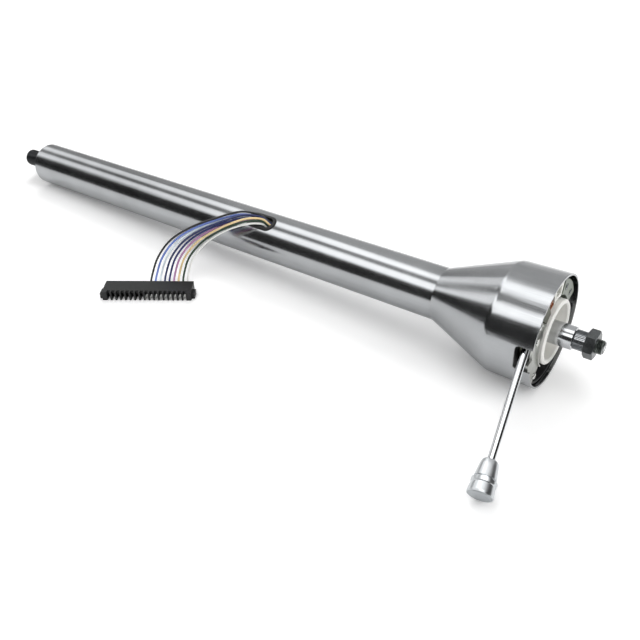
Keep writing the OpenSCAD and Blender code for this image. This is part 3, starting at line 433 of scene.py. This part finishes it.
plastics = {
    "blackNylon": {"dark": "#101112", "light": "#1d1e20", "rough": (0.38, 0.52), "cloud": 60.0, "grain": 2400.0,
                   "bump": 0.12},
    "offWhiteNylon": {"dark": "#e9e8e3", "light": "#f5f4f0", "rough": (0.34, 0.48), "cloud": 70.0,
                      "grain": 1800.0, "bump": 0.1},
    "greyMoulding": {"dark": "#4f574e", "light": "#707969", "rough": (0.25, 0.4), "cloud": 90.0,
                     "grain": 1500.0, "bump": 0.1},
    "paleMoulding": {"dark": "#dcdcd6", "light": "#efefea", "rough": (0.35, 0.5), "cloud": 90.0,
                     "grain": 1500.0, "bump": 0.1},
    "blackRubber": {"dark": "#0d0d0e", "light": "#181819", "rough": (0.45, 0.62), "cloud": 90.0,
                    "grain": 1300.0, "bump": 0.2},
    "plugNylon": {"dark": "#08090a", "light": "#121314", "rough": (0.42, 0.56), "cloud": 70.0, "grain": 2000.0,
                  "bump": 0.1},
    "loomTape": {"dark": "#141416", "light": "#242629", "rough": (0.35, 0.5), "cloud": 120.0, "grain": 900.0,
                 "bump": 0.25},
}
finishes = {name: workedMetal(name, look) for name, look in metals.items()}
finishes.update({name: mouldedPlastic(name, look) for name, look in plastics.items()})

# Solids whose own shape stays, hidden inside or too small to need more
nodeFinish = {
    "platedSteel": ["tube_end_plate", "race_seat", "lower_outer_race", "lower_inner_race", "upper_outer_race",
                    "upper_inner_race"],
    "groundSteel": ["lower_balls", "upper_balls"],
    "blackOxide": ["retaining_ring"],
    "offWhiteNylon": ["shear_pins"],
    "copperStrip": ["horn_ring", "horn_brush"],
    "chromePlate": ["hazard_stem"],
}
for finish, names in nodeFinish.items():
    for name in names:
        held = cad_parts[name].data.materials
        held.clear()
        held.append(finishes[finish])
print("finishes are on")

# What the pieces share: how a mesh is laid on the floor with the column, and how it rides
toWorld = layDown @ Matrix.Scale(mm, 4)


def ringPoint(x, ring, angle):   # angle from the lever's side over the top
    turn = math.radians(angle)
    return Vector((x, -ring * math.cos(turn), ring * math.sin(turn)))


# Large faces keep their own normals and the small faces of an eased edge carry the turn
def weighted(mesh):
    carrier = makeObject(mesh.name + "Carrier", mesh)
    weigher = carrier.modifiers.new("faceWeights", "WEIGHTED_NORMAL")
    weigher.mode = "FACE_AREA"
    weigher.weight = 100
    weigher.keep_sharp = True
    result = bpy.data.meshes.new_from_object(carrier.evaluated_get(bpy.context.evaluated_depsgraph_get()))
    bpy.data.objects.remove(carrier)
    return result


def settle(name, mesh, finish, body, nodes, sharp=32):
    mesh.shade_smooth()
    mesh.set_sharp_from_angle(angle=math.radians(sharp))
    mesh = weighted(mesh)
    mesh.name = name
    mesh.materials.clear()
    mesh.materials.append(finishes[finish])
    piece = makeObject(name, mesh)
    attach(piece, body)
    if nodes:
        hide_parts(*nodes)
    return piece


# A closed mesh with its normals outwards, in the millimetres of its points
def closedMesh(name, points, faces):
    mesh = bpy.data.meshes.new(name)
    mesh.from_pydata([tuple(p) for p in points], [], faces)
    shape = bmesh.new()
    shape.from_mesh(mesh)
    bmesh.ops.remove_doubles(shape, verts=shape.verts, dist=1e-5)
    bmesh.ops.recalc_face_normals(shape, faces=shape.faces)
    shape.to_mesh(mesh)
    shape.free()
    return mesh


def meshFrom(name, points, faces, place=None):
    mesh = closedMesh(name, points, faces)
    mesh.transform(toWorld if place is None else toWorld @ place)
    return mesh


# Faces between rings of points that follow one another, with an end cap at both ends or round in a loop
def ringFaces(rings, sides, base=0, looped=False):
    faces = []
    for k in range(rings if looped else rings - 1):
        ahead = ((k + 1) % rings - k) * sides
        for s in range(sides):
            a, b = base + sides * k + s, base + sides * k + (s + 1) % sides
            faces.append((a, b, b + ahead, a + ahead))
    if not looped:
        last = base + sides * (rings - 1)
        faces += [tuple(range(base + sides - 1, base - 1, -1)), tuple(range(last, last + sides))]
    return faces


# Rounds each corner of a closed outline by a small reach, so that lathed edges catch the light
def easedOutline(points, reach, steps=3):
    eased = []
    for k, (x, r) in enumerate(points):
        here, before, after = Vector((x, r)), Vector(points[k - 1]), Vector(points[(k + 1) % len(points)])
        back, ahead = before - here, after - here
        if r < 1e-6 or back.length < 1e-6 or ahead.length < 1e-6 or abs(back.angle(ahead) - math.pi) < 0.06:
            eased.append((x, r))
            continue
        start = here + back.normalized() * min(reach, 0.42 * back.length)
        end = here + ahead.normalized() * min(reach, 0.42 * ahead.length)
        for step in range(steps + 1):
            t = step / steps
            eased.append(tuple((1 - t) ** 2 * start + 2 * t * (1 - t) * here + t * t * end))
    return eased


# A closed outline of station and radius turned about an axis; where places a point by station, radius, angle
def turned(outline, steps, where):
    points, faces, rings = [], [], []
    for x, r in outline:
        count = steps if r > 1e-6 else 1
        rings.append((len(points), count))
        points += [where(x, r, 360 * step / steps) for step in range(count)]
    for k, (first, count) in enumerate(rings):
        other, otherCount = rings[(k + 1) % len(rings)]
        for step in range(steps):
            ahead = (step + 1) % steps
            corners = list(dict.fromkeys((first + step % count, first + ahead % count,
                                          other + ahead % otherCount, other + step % otherCount)))
            if len(corners) > 2:
                faces.append(corners)
    return points, faces


def turnedMesh(name, outline, steps=96, place=None):
    return meshFrom(name, *turned(outline, steps, ringPoint), place)


# A solid's own mesh with its sharp edges broken by a small radius, as real edges are
def easedCopy(name, node, width, parts=2, sharp=35):
    shape = bmesh.new()
    shape.from_mesh(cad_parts[node].data)
    bmesh.ops.remove_doubles(shape, verts=shape.verts, dist=3e-6)
    bmesh.ops.dissolve_limit(shape, angle_limit=math.radians(0.5), verts=shape.verts, edges=shape.edges)
    edges = [edge for edge in shape.edges
             if edge.is_manifold and edge.calc_face_angle(0.0) > math.radians(sharp)]
    bmesh.ops.bevel(shape, geom=edges, offset=width * mm, offset_type="OFFSET", segments=parts, profile=0.5,
                    affect="EDGES", clamp_overlap=True, miter_outer="ARC")
    bmesh.ops.remove_doubles(shape, verts=shape.verts, dist=1e-6)
    mesh = bpy.data.meshes.new(name)
    shape.to_mesh(mesh)
    shape.free()
    return mesh


# Geometry Nodes trees for what repeats: the inputs carry the sizes, in millimetres
socketKinds = {"float": "NodeSocketFloat", "int": "NodeSocketInt", "object": "NodeSocketObject",
               "material": "NodeSocketMaterial", "geometry": "NodeSocketGeometry"}


def startTree(name, wanted):
    tree = bpy.data.node_groups.new(name, "GeometryNodeTree")
    for label, kind in wanted.items():
        tree.interface.new_socket(label, in_out="INPUT", socket_type=socketKinds[kind])
    tree.interface.new_socket("Geometry", in_out="OUTPUT", socket_type="NodeSocketGeometry")
    return tree, addNode(tree, "NodeGroupInput").outputs


def endTree(tree, geometry, given):
    whole = addNode(tree, "GeometryNodeRealizeInstances", None, {"Geometry": geometry})
    coated = addNode(tree, "GeometryNodeSetMaterial", None,
                     {"Geometry": whole.outputs[0], "Material": given["Material"]})
    addNode(tree, "NodeGroupOutput", None, {"Geometry": coated.outputs[0]})
    return tree


# Round or edged wire wound along +Z: springs, and the ridge of a thread
def woundWireTree():
    tree, given = startTree("woundWire", {"Turns": "float", "Coil Radius": "float", "Height": "float",
                                          "Wire Radius": "float", "Wire Sides": "int", "Material": "material"})
    spiral = addNode(tree, "GeometryNodeCurveSpiral", None,
                     {"Resolution": 32, "Rotations": given["Turns"], "Start Radius": given["Coil Radius"],
                      "End Radius": given["Coil Radius"], "Height": given["Height"]})
    section = addNode(tree, "GeometryNodeCurvePrimitiveCircle", None,
                      {"Resolution": given["Wire Sides"], "Radius": given["Wire Radius"]})
    swept = addNode(tree, "GeometryNodeCurveToMesh", None,
                    {"Curve": spiral.outputs[0], "Profile Curve": section.outputs[0], "Fill Caps": True})
    return endTree(tree, swept.outputs[0], given)


# Copies of a piece round +Z, their X facing out: spline teeth, grip ribs
def ringOfTree():
    tree, given = startTree("ringOf", {"Piece": "object", "Count": "int", "Radius": "float",
                                       "Material": "material"})
    circle = addNode(tree, "GeometryNodeMeshCircle", None,
                     {"Vertices": given["Count"], "Radius": given["Radius"]})
    where = addNode(tree, "GeometryNodeInputPosition")
    facing = addNode(tree, "FunctionNodeAlignRotationToVector", {"axis": "X", "pivot_axis": "Z"},
                     {"Vector": where.outputs[0]})
    piece = addNode(tree, "GeometryNodeObjectInfo", None, {"Object": given["Piece"], "As Instance": True})
    stood = addNode(tree, "GeometryNodeInstanceOnPoints", None,
                    {"Points": circle.outputs[0], "Instance": piece.outputs["Geometry"],
                     "Rotation": facing.outputs[0]})
    return endTree(tree, stood.outputs[0], given)


# Copies of a piece along +X at a pitch: the plug's contacts
def rowOfTree():
    tree, given = startTree("rowOf", {"Piece": "object", "Count": "int", "Pitch": "float",
                                      "Material": "material"})
    step = addNode(tree, "ShaderNodeCombineXYZ", None, {"X": given["Pitch"]})
    line = addNode(tree, "GeometryNodeMeshLine", None, {"Count": given["Count"], "Offset": step.outputs[0]})
    piece = addNode(tree, "GeometryNodeObjectInfo", None, {"Object": given["Piece"], "As Instance": True})
    stood = addNode(tree, "GeometryNodeInstanceOnPoints", None,
                    {"Points": line.outputs[0], "Instance": piece.outputs["Geometry"]})
    return endTree(tree, stood.outputs[0], given)


# Copies of a piece on the points of a mesh, each turned by chance about its own axis: screws, rivets
def placedAtTree():
    tree, given = startTree("placedAt", {"Geometry": "geometry", "Piece": "object", "Spin": "float",
                                         "Seed": "int", "Material": "material"})
    chance = addNode(tree, "FunctionNodeRandomValue", {"data_type": "FLOAT"},
                     {2: 0.0, 3: given["Spin"], "Seed": given["Seed"]})
    turn = addNode(tree, "ShaderNodeCombineXYZ", None, {"Z": chance.outputs[1]})
    piece = addNode(tree, "GeometryNodeObjectInfo", None, {"Object": given["Piece"], "As Instance": True})
    stood = addNode(tree, "GeometryNodeInstanceOnPoints", None,
                    {"Points": given["Geometry"], "Instance": piece.outputs["Geometry"],
                     "Rotation": turn.outputs[0]})
    return endTree(tree, stood.outputs[0], given)


trees = {"woundWire": woundWireTree(), "ringOf": ringOfTree(), "rowOf": rowOfTree(), "placedAt": placedAtTree()}


# Runs a tree once and keeps its result as a plain mesh; place is in the column's frame
def grow(name, treeName, values, place, base=None):
    tree = trees[treeName]
    carrier = makeObject(name + "Carrier", base or bpy.data.meshes.new(name + "Carrier"))
    grower = carrier.modifiers.new(treeName, "NODES")
    grower.node_group = tree
    for item in tree.interface.items_tree:
        if item.in_out == "INPUT" and item.name in values:
            grower[item.identifier] = values[item.name]
    grown = carrier.evaluated_get(bpy.context.evaluated_depsgraph_get())
    mesh = bpy.data.meshes.new_from_object(grown)
    mesh.name = name
    bpy.data.objects.remove(carrier)
    mesh.transform(toWorld @ place)
    return mesh


def patternPiece(name, points, faces):
    return makeObject(name, closedMesh(name, points, faces))


def alongX(x):   # turns a tree's +Z to the column's +X
    return Matrix.Translation((x, 0, 0)) @ Matrix.Rotation(math.pi / 2, 4, "Y")


def outwards(x, angle):   # +Z away from the axis at an angle, +X along the column
    return Matrix.Translation((x, 0, 0)) @ Matrix.Rotation(math.radians(90 - angle), 4, "X")


# One spline tooth, its root sunk in the core and its ends chamfered
def splineTooth(name, look):
    points = []
    depth, length, chamfer, sunk = look["depth"], look["length"], look["chamfer"], -look["sunk"]
    for z, tip in ((0, depth - chamfer), (chamfer, depth), (length - chamfer, depth), (length, depth - chamfer)):
        points += [(sunk, -look["root"] / 2, z), (tip, -look["tip"] / 2, z), (tip, look["tip"] / 2, z),
                   (sunk, look["root"] / 2, z)]
    return patternPiece(name, points, ringFaces(4, 4))


# Lower shaft: coupling spline with fine teeth, relief, bearing seat and the hidden sleeve
lowerShaft = {
    "radius": 10.32, "splineLength": 32.5, "relief": (32.5, 36.0, 9.2), "seatEnd": 60.05, "sleeveRadius": 12.7,
    "sleeveEnd": 343.0, "boreRadius": 10.35, "boreStart": 163.0, "teeth": 36,
    "tooth": {"depth": 0.72, "root": 1.34, "tip": 0.78, "length": 31.3, "chamfer": 0.45, "sunk": 0.3},
}


def makeLowerShaft():
    look = lowerShaft
    core = look["radius"] - look["tooth"]["depth"]
    start, end, reliefRadius = look["relief"]
    outline = easedOutline([
        (0, 0), (0, core - 0.5), (0.8, core), (start, core), (start, reliefRadius), (end, reliefRadius),
        (end, look["radius"]), (look["seatEnd"], look["radius"]), (look["seatEnd"], look["sleeveRadius"]),
        (look["sleeveEnd"], look["sleeveRadius"]), (look["sleeveEnd"], look["boreRadius"]),
        (look["boreStart"], look["boreRadius"]), (look["boreStart"], 0)], 0.35)
    body = turnedMesh("lowerShaft", outline)
    settle("lowerShaft", body, "oiledSteel", "steering_shaft", ["lower_shaft"])
    tooth = splineTooth("couplingTooth", look["tooth"])
    teeth = grow("couplingSpline", "ringOf", {"Piece": tooth, "Count": look["teeth"], "Radius": core,
                                              "Material": finishes["oiledSteel"]}, alongX(0.6))
    bpy.data.objects.remove(tooth)
    settle("couplingSpline", teeth, "oiledSteel", "steering_shaft", ["lower_shaft"], 25)


# Upper shaft: ground journal, wheel spline and a rolled thread under the nut
upperShaft = {
    "start": 223.0, "radius": 10.3, "plainEnd": 754.0, "seatEnd": 763.5, "threadEnd": 778.1,
    "retainer": (697.15, 698.35, 9.7), "splineRadius": 8.65, "teeth": 36,
    "tooth": {"depth": 0.66, "root": 1.12, "tip": 0.6, "length": 9.1, "chamfer": 0.35, "sunk": 0.3},
    "threadRadius": 6.4, "pitch": 1.27, "ridge": 0.62,
}


def makeUpperShaft():
    look = upperShaft
    core = look["splineRadius"] - look["tooth"]["depth"]
    threadCore = look["threadRadius"] - look["ridge"]
    left, right, seat = look["retainer"]
    outline = easedOutline([
        (look["start"], 0), (look["start"], look["radius"]), (left, look["radius"]), (left, seat), (right, seat),
        (right, look["radius"]), (look["plainEnd"] - 0.9, look["radius"]), (look["plainEnd"], core + 0.5),
        (look["plainEnd"], core), (look["seatEnd"], core), (look["seatEnd"], threadCore),
        (look["threadEnd"] - 0.7, threadCore), (look["threadEnd"], threadCore - 1.0),
        (look["threadEnd"], 0)], 0.3)
    body = turnedMesh("upperShaft", outline)
    settle("upperShaft", body, "groundSteel", "steering_shaft", ["upper_shaft"])
    tooth = splineTooth("wheelTooth", look["tooth"])
    teeth = grow("wheelSpline", "ringOf", {"Piece": tooth, "Count": look["teeth"], "Radius": core,
                                           "Material": finishes["hobbedSteel"]}, alongX(look["plainEnd"] + 0.1))
    bpy.data.objects.remove(tooth)
    settle("wheelSpline", teeth, "hobbedSteel", "steering_shaft", ["upper_shaft"], 25)
    height = look["threadEnd"] - look["seatEnd"] - 2.6
    ridge = grow("wheelThread", "woundWire",
                 {"Turns": height / look["pitch"], "Coil Radius": threadCore + 0.06, "Height": height,
                  "Wire Radius": look["ridge"] - 0.06, "Wire Sides": 4, "Material": finishes["rolledThread"]},
                 alongX(look["seatEnd"] + 1.4))
    settle("wheelThread", ridge, "rolledThread", "steering_shaft", ["upper_shaft"], 25)
    start, end = look["seatEnd"] + 0.3, look["threadEnd"]   # with a centre hole in its end, as from the lathe
    sleeve = turnedMesh("threadCore", easedOutline([
        (start, threadCore - 0.8), (start, threadCore + 0.04), (end - 0.8, threadCore + 0.04),
        (end, threadCore - 0.9), (end, 2.2), (end - 0.9, 0), (start, 0)], 0.25))
    settle("threadCore", sleeve, "rolledThread", "steering_shaft", ["upper_shaft"])


# Springs of round wire, wound by one tree
springs = [
    {"name": "preloadSpring", "node": "preload_spring", "body": "steering_shaft", "turns": 2.5, "coil": 12.55,
     "wire": 0.8, "place": alongX(711.85), "height": 4.7},
    {"name": "detentSpring", "node": "detent_spring", "body": "column", "turns": 6.0, "coil": 1.6, "wire": 0.35,
     "place": outwards(721.9, -30) @ Matrix.Translation((0, 0, 43.8)), "height": 5.0},
]
for angle in (120, 146):
    spot = ringPoint(724.4, 39.5, angle)
    springs.append({"name": "blockSpring%d" % angle, "node": "block_springs", "body": "column", "turns": 5.5,
                    "coil": 2.2, "wire": 0.42, "height": 9.6,
                    "place": Matrix.Translation(spot) @ Matrix.Rotation(math.pi / 2, 4, "Y")})


def makeSprings():
    for look in springs:
        mesh = grow(look["name"], "woundWire",
                    {"Turns": look["turns"], "Coil Radius": look["coil"], "Height": look["height"],
                     "Wire Radius": look["wire"], "Wire Sides": 12, "Material": finishes["springWire"]},
                    look["place"])
        settle(look["name"], mesh, "springWire", look["body"], [look["node"]], 50)


# Pan-head machine screws with a cross recess
screwSets = [
    {"name": "bracketScrews", "node": "bracket_screws", "radius": 1.6, "head": 733.4, "shank": 5.9, "ring": 42.0,
     "angles": (-43, 35), "finish": "brightZinc", "slot": "bright_screw"},
    {"name": "switchScrews", "node": "switch_screws", "radius": 2.1, "head": 719.9, "shank": 24.4, "ring": 41.0,
     "angles": (-150, -75, 168), "finish": "brightZinc", "slot": "bright_screw"},
    {"name": "housingScrews", "node": "housing_screws", "radius": 2.4, "head": 697.9, "shank": 8.9, "ring": 34.0,
     "angles": (-62, 8, 135, 225), "finish": "blackOxide", "slot": "black_screw"},
]


def onZ(z, ring, angle):   # the screw is turned about its own axis
    turn = math.radians(angle)
    return ring * math.cos(turn), ring * math.sin(turn), z


def makeScrew(radius, shank):
    head = 1.2 * radius
    outline = easedOutline([(-shank, 0), (-shank, radius * 0.8), (-shank + 0.5, radius), (0, radius),
                            (0, 1.9 * radius), (head * 0.4, 1.88 * radius), (head * 0.8, 1.5 * radius),
                            (head, 0.95 * radius), (head, 0)], 0.12 * radius, 2)
    screw = patternPiece("panScrew", *turned(outline, 24, onZ))
    long, wide, deep = 1.15 * radius, 0.26 * radius, 0.75 * radius
    corners = [(-long, -wide), (-wide, -wide), (-wide, -long), (wide, -long), (wide, -wide), (long, -wide),
               (long, wide), (wide, wide), (wide, long), (-wide, long), (-wide, wide), (-long, wide)]
    foot = [(0.45 * x, 0.45 * y, head - deep) for x, y in corners]
    top = [(x, y, head + 0.5) for x, y in corners]
    cross = patternPiece("crossDriver", foot + top, ringFaces(2, len(corners)))
    cutter = screw.modifiers.new("recess", "BOOLEAN")
    cutter.operation = "DIFFERENCE"
    cutter.solver = "EXACT"
    cutter.object = cross
    cut = bpy.data.meshes.new_from_object(screw.evaluated_get(bpy.context.evaluated_depsgraph_get()))
    bpy.data.objects.remove(screw)
    bpy.data.objects.remove(cross)
    return makeObject("cutScrew", cut)


def makeScrews():
    for number, look in enumerate(screwSets):
        screw = makeScrew(look["radius"], look["shank"])
        spots = bpy.data.meshes.new("screwSpots")
        turn = Matrix.Rotation(math.pi / 2, 4, "Y").inverted()
        spots.from_pydata([tuple(turn @ ringPoint(0, look["ring"], angle)) for angle in look["angles"]], [], [])
        mesh = grow(look["name"], "placedAt", {"Piece": screw, "Spin": 1.5, "Seed": number + 3,
                                               "Material": finishes[look["finish"]]},
                    alongX(look["head"]), spots)
        bpy.data.objects.remove(screw)
        settle(look["name"], mesh, look["finish"], "column", [look["node"]])


# Turn lever: knob turned from bar with a shoulder, groove and collar, and its satin end cap
lever = {
    "pivotInset": 18.0, "down": 22.6, "lean": 9.8, "exitBack": 6.4, "exitUp": 2.8, "bellRadius": 51.8,
    "reach": 123.8, "rodRadius": 3.175, "rodStart": 4.55, "knobLength": 30.0, "knobRadius": 10.2, "bore": 0.4,
    "lengthShares": [0, 0.03, 0.13, 0.26, 0.49, 0.49, 0.545, 0.545, 0.65, 0.67, 0.9, 0.955],
    "radiusShares": [0.55, 0.63, 0.7, 0.755, 0.845, 0.77, 0.77, 0.965, 0.965, 0.915, 1, 0.985],
}


def alongLever():
    look = lever
    down, lean = math.radians(look["down"]), math.radians(look["lean"])
    heading = Vector((math.sin(lean), -math.cos(lean) * math.cos(down), -math.cos(lean) * math.sin(down)))
    leave = Vector((rimX - look["exitBack"], -math.sqrt(look["bellRadius"] ** 2 - look["exitUp"] ** 2),
                    look["exitUp"]))
    pivot = leave - look["pivotInset"] * heading
    return (Matrix.Translation(pivot) @ Matrix.Rotation(down, 4, "X") @ Matrix.Rotation(lean, 4, "Z")
            @ Matrix.Rotation(math.pi / 2, 4, "X") @ Matrix.Rotation(-math.pi / 2, 4, "Y"))


def makeLever():
    look = lever
    knobStart = look["pivotInset"] + look["reach"] - look["knobLength"]
    place = alongLever()
    long, wide = look["knobLength"], look["knobRadius"]
    outline = [(knobStart, look["rodRadius"] + 0.05)]
    outline += [(knobStart + long * a, wide * b) for a, b in zip(look["lengthShares"], look["radiusShares"])]
    capSeat, capRadius = knobStart + long * 0.895, wide * 0.9
    outline += [(knobStart + long * 0.955, capRadius + 0.05), (capSeat, capRadius + 0.05), (capSeat, 0),
                (knobStart + long * look["bore"], 0), (knobStart + long * look["bore"], look["rodRadius"] + 0.05)]
    knob = turnedMesh("leverKnob", easedOutline(outline, 0.16, 3), 96, place)
    settle("leverKnob", knob, "turnedAluminium", "turn_lever", ["lever_knob"])
    cap = [(capSeat + 0.05, 0), (capSeat + 0.05, capRadius), (knobStart + long * 0.952, capRadius),
           (knobStart + long * 0.968, capRadius * 0.965)]
    cap += [(knobStart + long * (0.97 + 0.03 * (1 - share ** 2)), capRadius * share)
            for share in (0.9, 0.7, 0.45, 0.2)]
    cap += [(knobStart + long, 0)]
    settle("knobCap", turnedMesh("knobCap", easedOutline(cap, 0.25), 96, place), "satinCap", "turn_lever",
           ["knob_cap"])
    rodEnd = knobStart + long * look["bore"] - 0.05
    rod = [(look["rodStart"], 0), (look["rodStart"], look["rodRadius"]), (rodEnd, look["rodRadius"]), (rodEnd, 0)]
    settle("leverRod", turnedMesh("leverRod", easedOutline(rod, 0.4), 64, place), "chromePlate", "turn_lever",
           ["lever_rod"])


# Rubber grommet: a rounded lip swept round the oblong slot, inside and outside the tube wall
grommet = {
    "middle": 420.5, "angle": 65, "length": 28.9, "width": 11.4, "tubeRadius": 25.4, "stations": 48,
    # distance out from the opening's edge, and height over the tube's skin
    "section": [(0.0, -3.0), (0.0, 0.5), (0.25, 1.15), (0.8, 1.55), (1.6, 1.6), (2.7, 1.45), (3.45, 1.0),
                (3.8, 0.45), (3.8, 0.05), (1.3, 0.04), (1.25, -1.7), (2.5, -1.72), (2.5, -2.7), (1.9, -2.95)],
}


def makeGrommet():
    look = grommet
    run, radius = (look["length"] - look["width"]) / 2, look["width"] / 2
    points, half = [], look["stations"] // 2
    for k in range(2 * half):
        end = -1 if k >= half else 1   # the slot's two round ends
        turn = math.radians(180 * (k % half) / (half - 1) - 90 * end)
        for out, high in look["section"]:
            side = (radius + out) * math.sin(turn)
            r = look["tubeRadius"] + high
            points.append((end * run + (radius + out) * math.cos(turn), side, math.sqrt(r * r - side * side)))
    faces = ringFaces(2 * half, len(look["section"]), looped=True)
    mesh = meshFrom("grommet", points, faces, outwards(look["middle"], look["angle"]))
    settle("grommet", mesh, "blackRubber", "column", ["harness_grommet"], 45)


# Taped loom from the slot up inside the tube and out to the switch, its tape laps as low steps
loom = {
    "angle": 75, "lap": 9.0, "step": 0.16, "sides": 20, "every": 3.0, "squareness": 0.6,
    "way": [(435.2, 16.7), (655.0, 16.7), (664.0, 19.0), (668.5, 25.0), (672.5, 31.0), (681.0, 33.0),
            (717.8, 33.0)],
    "halfWide": 4.75, "halfHigh": [3.5, 3.5, 3.4, 3.1, 2.6, 2.0, 2.0],
}


def makeLoom():
    look = loom
    way = [Vector((x, 0, r)) for x, r in look["way"]]
    points, sections = [], []
    for k in range(len(way) - 1):
        steps = max(2, int((way[k + 1] - way[k]).length / look["every"]))
        for step in range(steps + (k == len(way) - 2)):
            t = step / steps
            high = look["halfHigh"][k] + (look["halfHigh"][k + 1] - look["halfHigh"][k]) * t
            sections.append((way[k].lerp(way[k + 1], t), (way[k + 1] - way[k]).normalized(), high))
    gone = 0.0
    for k, (spot, ahead, high) in enumerate(sections):
        if k:
            gone += (spot - sections[k - 1][0]).length
        before = sections[max(k - 1, 0)][1]
        ahead = (ahead + before).normalized()
        up = Vector((-ahead.z, 0, ahead.x))
        proud = look["step"] * (gone / look["lap"] % 1.0)
        for s in range(look["sides"]):
            turn = 2 * math.pi * s / look["sides"]
            c, d = math.cos(turn), math.sin(turn)
            side = math.copysign(abs(c) ** look["squareness"], c) * (look["halfWide"] - proud)
            rise = math.copysign(abs(d) ** look["squareness"], d) * (high - proud)
            points.append(spot + Vector((0, side, 0)) + rise * up)
    mesh = meshFrom("loom", points, ringFaces(len(sections), look["sides"]), outwards(0, look["angle"]))
    settle("loom", mesh, "loomTape", "column", ["harness_run"], 50)


# Plug: its contacts are folded tinned brass, one for each wire, in the comb's gaps
plug = {
    "place": (306.5, -133.2), "turn": 35.7, "body": 92.0, "depth": 22.0, "comb": 7.0, "pitch": 4.9, "count": 9,
    "contactWide": 1.9, "contactHigh": 3.0, "rise": 2.4, "sheet": 0.35, "tongueWide": 1.0, "tongueThick": 0.3,
    "tongue": [(0.2, 0.5), (1.6, 2.2), (3.4, 2.5), (5.2, 1.5), (6.4, 2.1)],
}


def makeContacts():
    look = plug
    wide, high, long, sheet = look["contactWide"], look["contactHigh"], look["comb"] - 0.1, look["sheet"]
    section = [(-wide / 2, 0), (wide / 2, 0), (wide / 2, high), (wide / 2 - sheet, high),
               (wide / 2 - sheet, sheet), (-wide / 2 + sheet, sheet), (-wide / 2 + sheet, high),
               (-wide / 2, high)]
    points = [(x, y, z) for y in (0.05, long) for x, z in section]
    # and a tongue that bends over inside the fold and meets the mating blade
    faces = ringFaces(2, len(section)) + ringFaces(len(look["tongue"]), 4, len(points))
    half, thick = look["tongueWide"] / 2, look["tongueThick"]
    for y, z in look["tongue"]:
        points += [(-half, y, z), (half, y, z), (half, y, z + thick), (-half, y, z + thick)]
    contact = patternPiece("contact", points, faces)
    place = (Matrix.Translation((*look["place"], floorZ / mm))
             @ Matrix.Rotation(math.radians(look["turn"]), 4, "Z") @ Matrix.Scale(-1, 4, (0, 1, 0))
             @ Matrix.Translation((look["body"] / 2, look["depth"] - look["comb"], look["rise"])))
    mesh = grow("plugContacts", "rowOf", {"Piece": contact, "Count": look["count"], "Pitch": look["pitch"],
                                          "Material": finishes["tinPlate"]}, Matrix.Identity(4))
    bpy.data.objects.remove(contact)
    mesh.transform(Matrix.Scale(mm, 4) @ place @ toWorld.inverted())
    mesh.flip_normals()
    settle("plugContacts", mesh, "tinPlate", "column", ["plug_contacts"])


# Solids whose own shape is right, with their edges broken as the real ones are
easedPieces = [
    {"name": "columnTube", "node": "column_tube", "width": 0.35, "finish": "drawnSteel", "slot": "brushed_steel"},
    {"name": "bell", "node": "bell", "width": 0.45, "finish": "drawnSteel", "slot": "brushed_steel"},
    {"name": "footPlug", "node": "foot_plug", "width": 0.5, "finish": "blackNylon", "slot": "black_plastic"},
    {"name": "bearingHousing", "node": "bearing_housing", "width": 0.5, "finish": "castZinc",
     "slot": "cast_zinc"},
    {"name": "cancelCam", "node": "cancel_cam", "width": 0.5, "finish": "offWhiteNylon", "slot": "white_nylon",
     "body": "steering_shaft"},
    {"name": "wheelNut", "node": "wheel_nut", "width": 0.45, "finish": "blackOxide", "slot": "black_steel",
     "body": "steering_shaft"},
    {"name": "switchBase", "node": "switch_base", "width": 0.35, "finish": "blackNylon", "slot": "black_plastic"},
    {"name": "switchBlock", "node": "switch_block", "width": 0.5, "finish": "greyMoulding",
     "slot": "grey_plastic"},
    {"name": "switchFrame", "node": "switch_frame", "width": 0.3, "finish": "paleMoulding",
     "slot": "white_plastic"},
    {"name": "contactStrips", "node": "contact_strips", "width": 0.25, "finish": "copperStrip", "slot": "copper"},
    {"name": "pivotBracket", "node": "pivot_bracket", "width": 0.35, "finish": "zincPlate", "slot": "zinc_plate"},
    {"name": "pivotPin", "node": "pivot_pin", "width": 0.4, "finish": "brightZinc", "slot": "zinc_plate"},
    {"name": "leverArm", "node": "lever_arm", "width": 0.5, "finish": "castZinc", "slot": "cast_zinc",
     "body": "turn_lever"},
    {"name": "hazardKnob", "node": "hazard_knob", "width": 0.4, "finish": "blackNylon", "slot": "black_plastic",
     "body": "hazard_switch"},
    {"name": "plugShell", "node": "plug_shell", "width": 0.3, "finish": "plugNylon", "slot": "plug_nylon"},
]


def makeEased():
    for look in easedPieces:
        mesh = easedCopy(look["name"], look["node"], look["width"])
        settle(look["name"], mesh, look["finish"], look.get("body", "column"), [look["node"]], 30)


makeEased()
makeLowerShaft()
makeUpperShaft()
makeSprings()
makeScrews()
makeLever()
makeGrommet()
makeLoom()
makeContacts()
print("pieces are made")
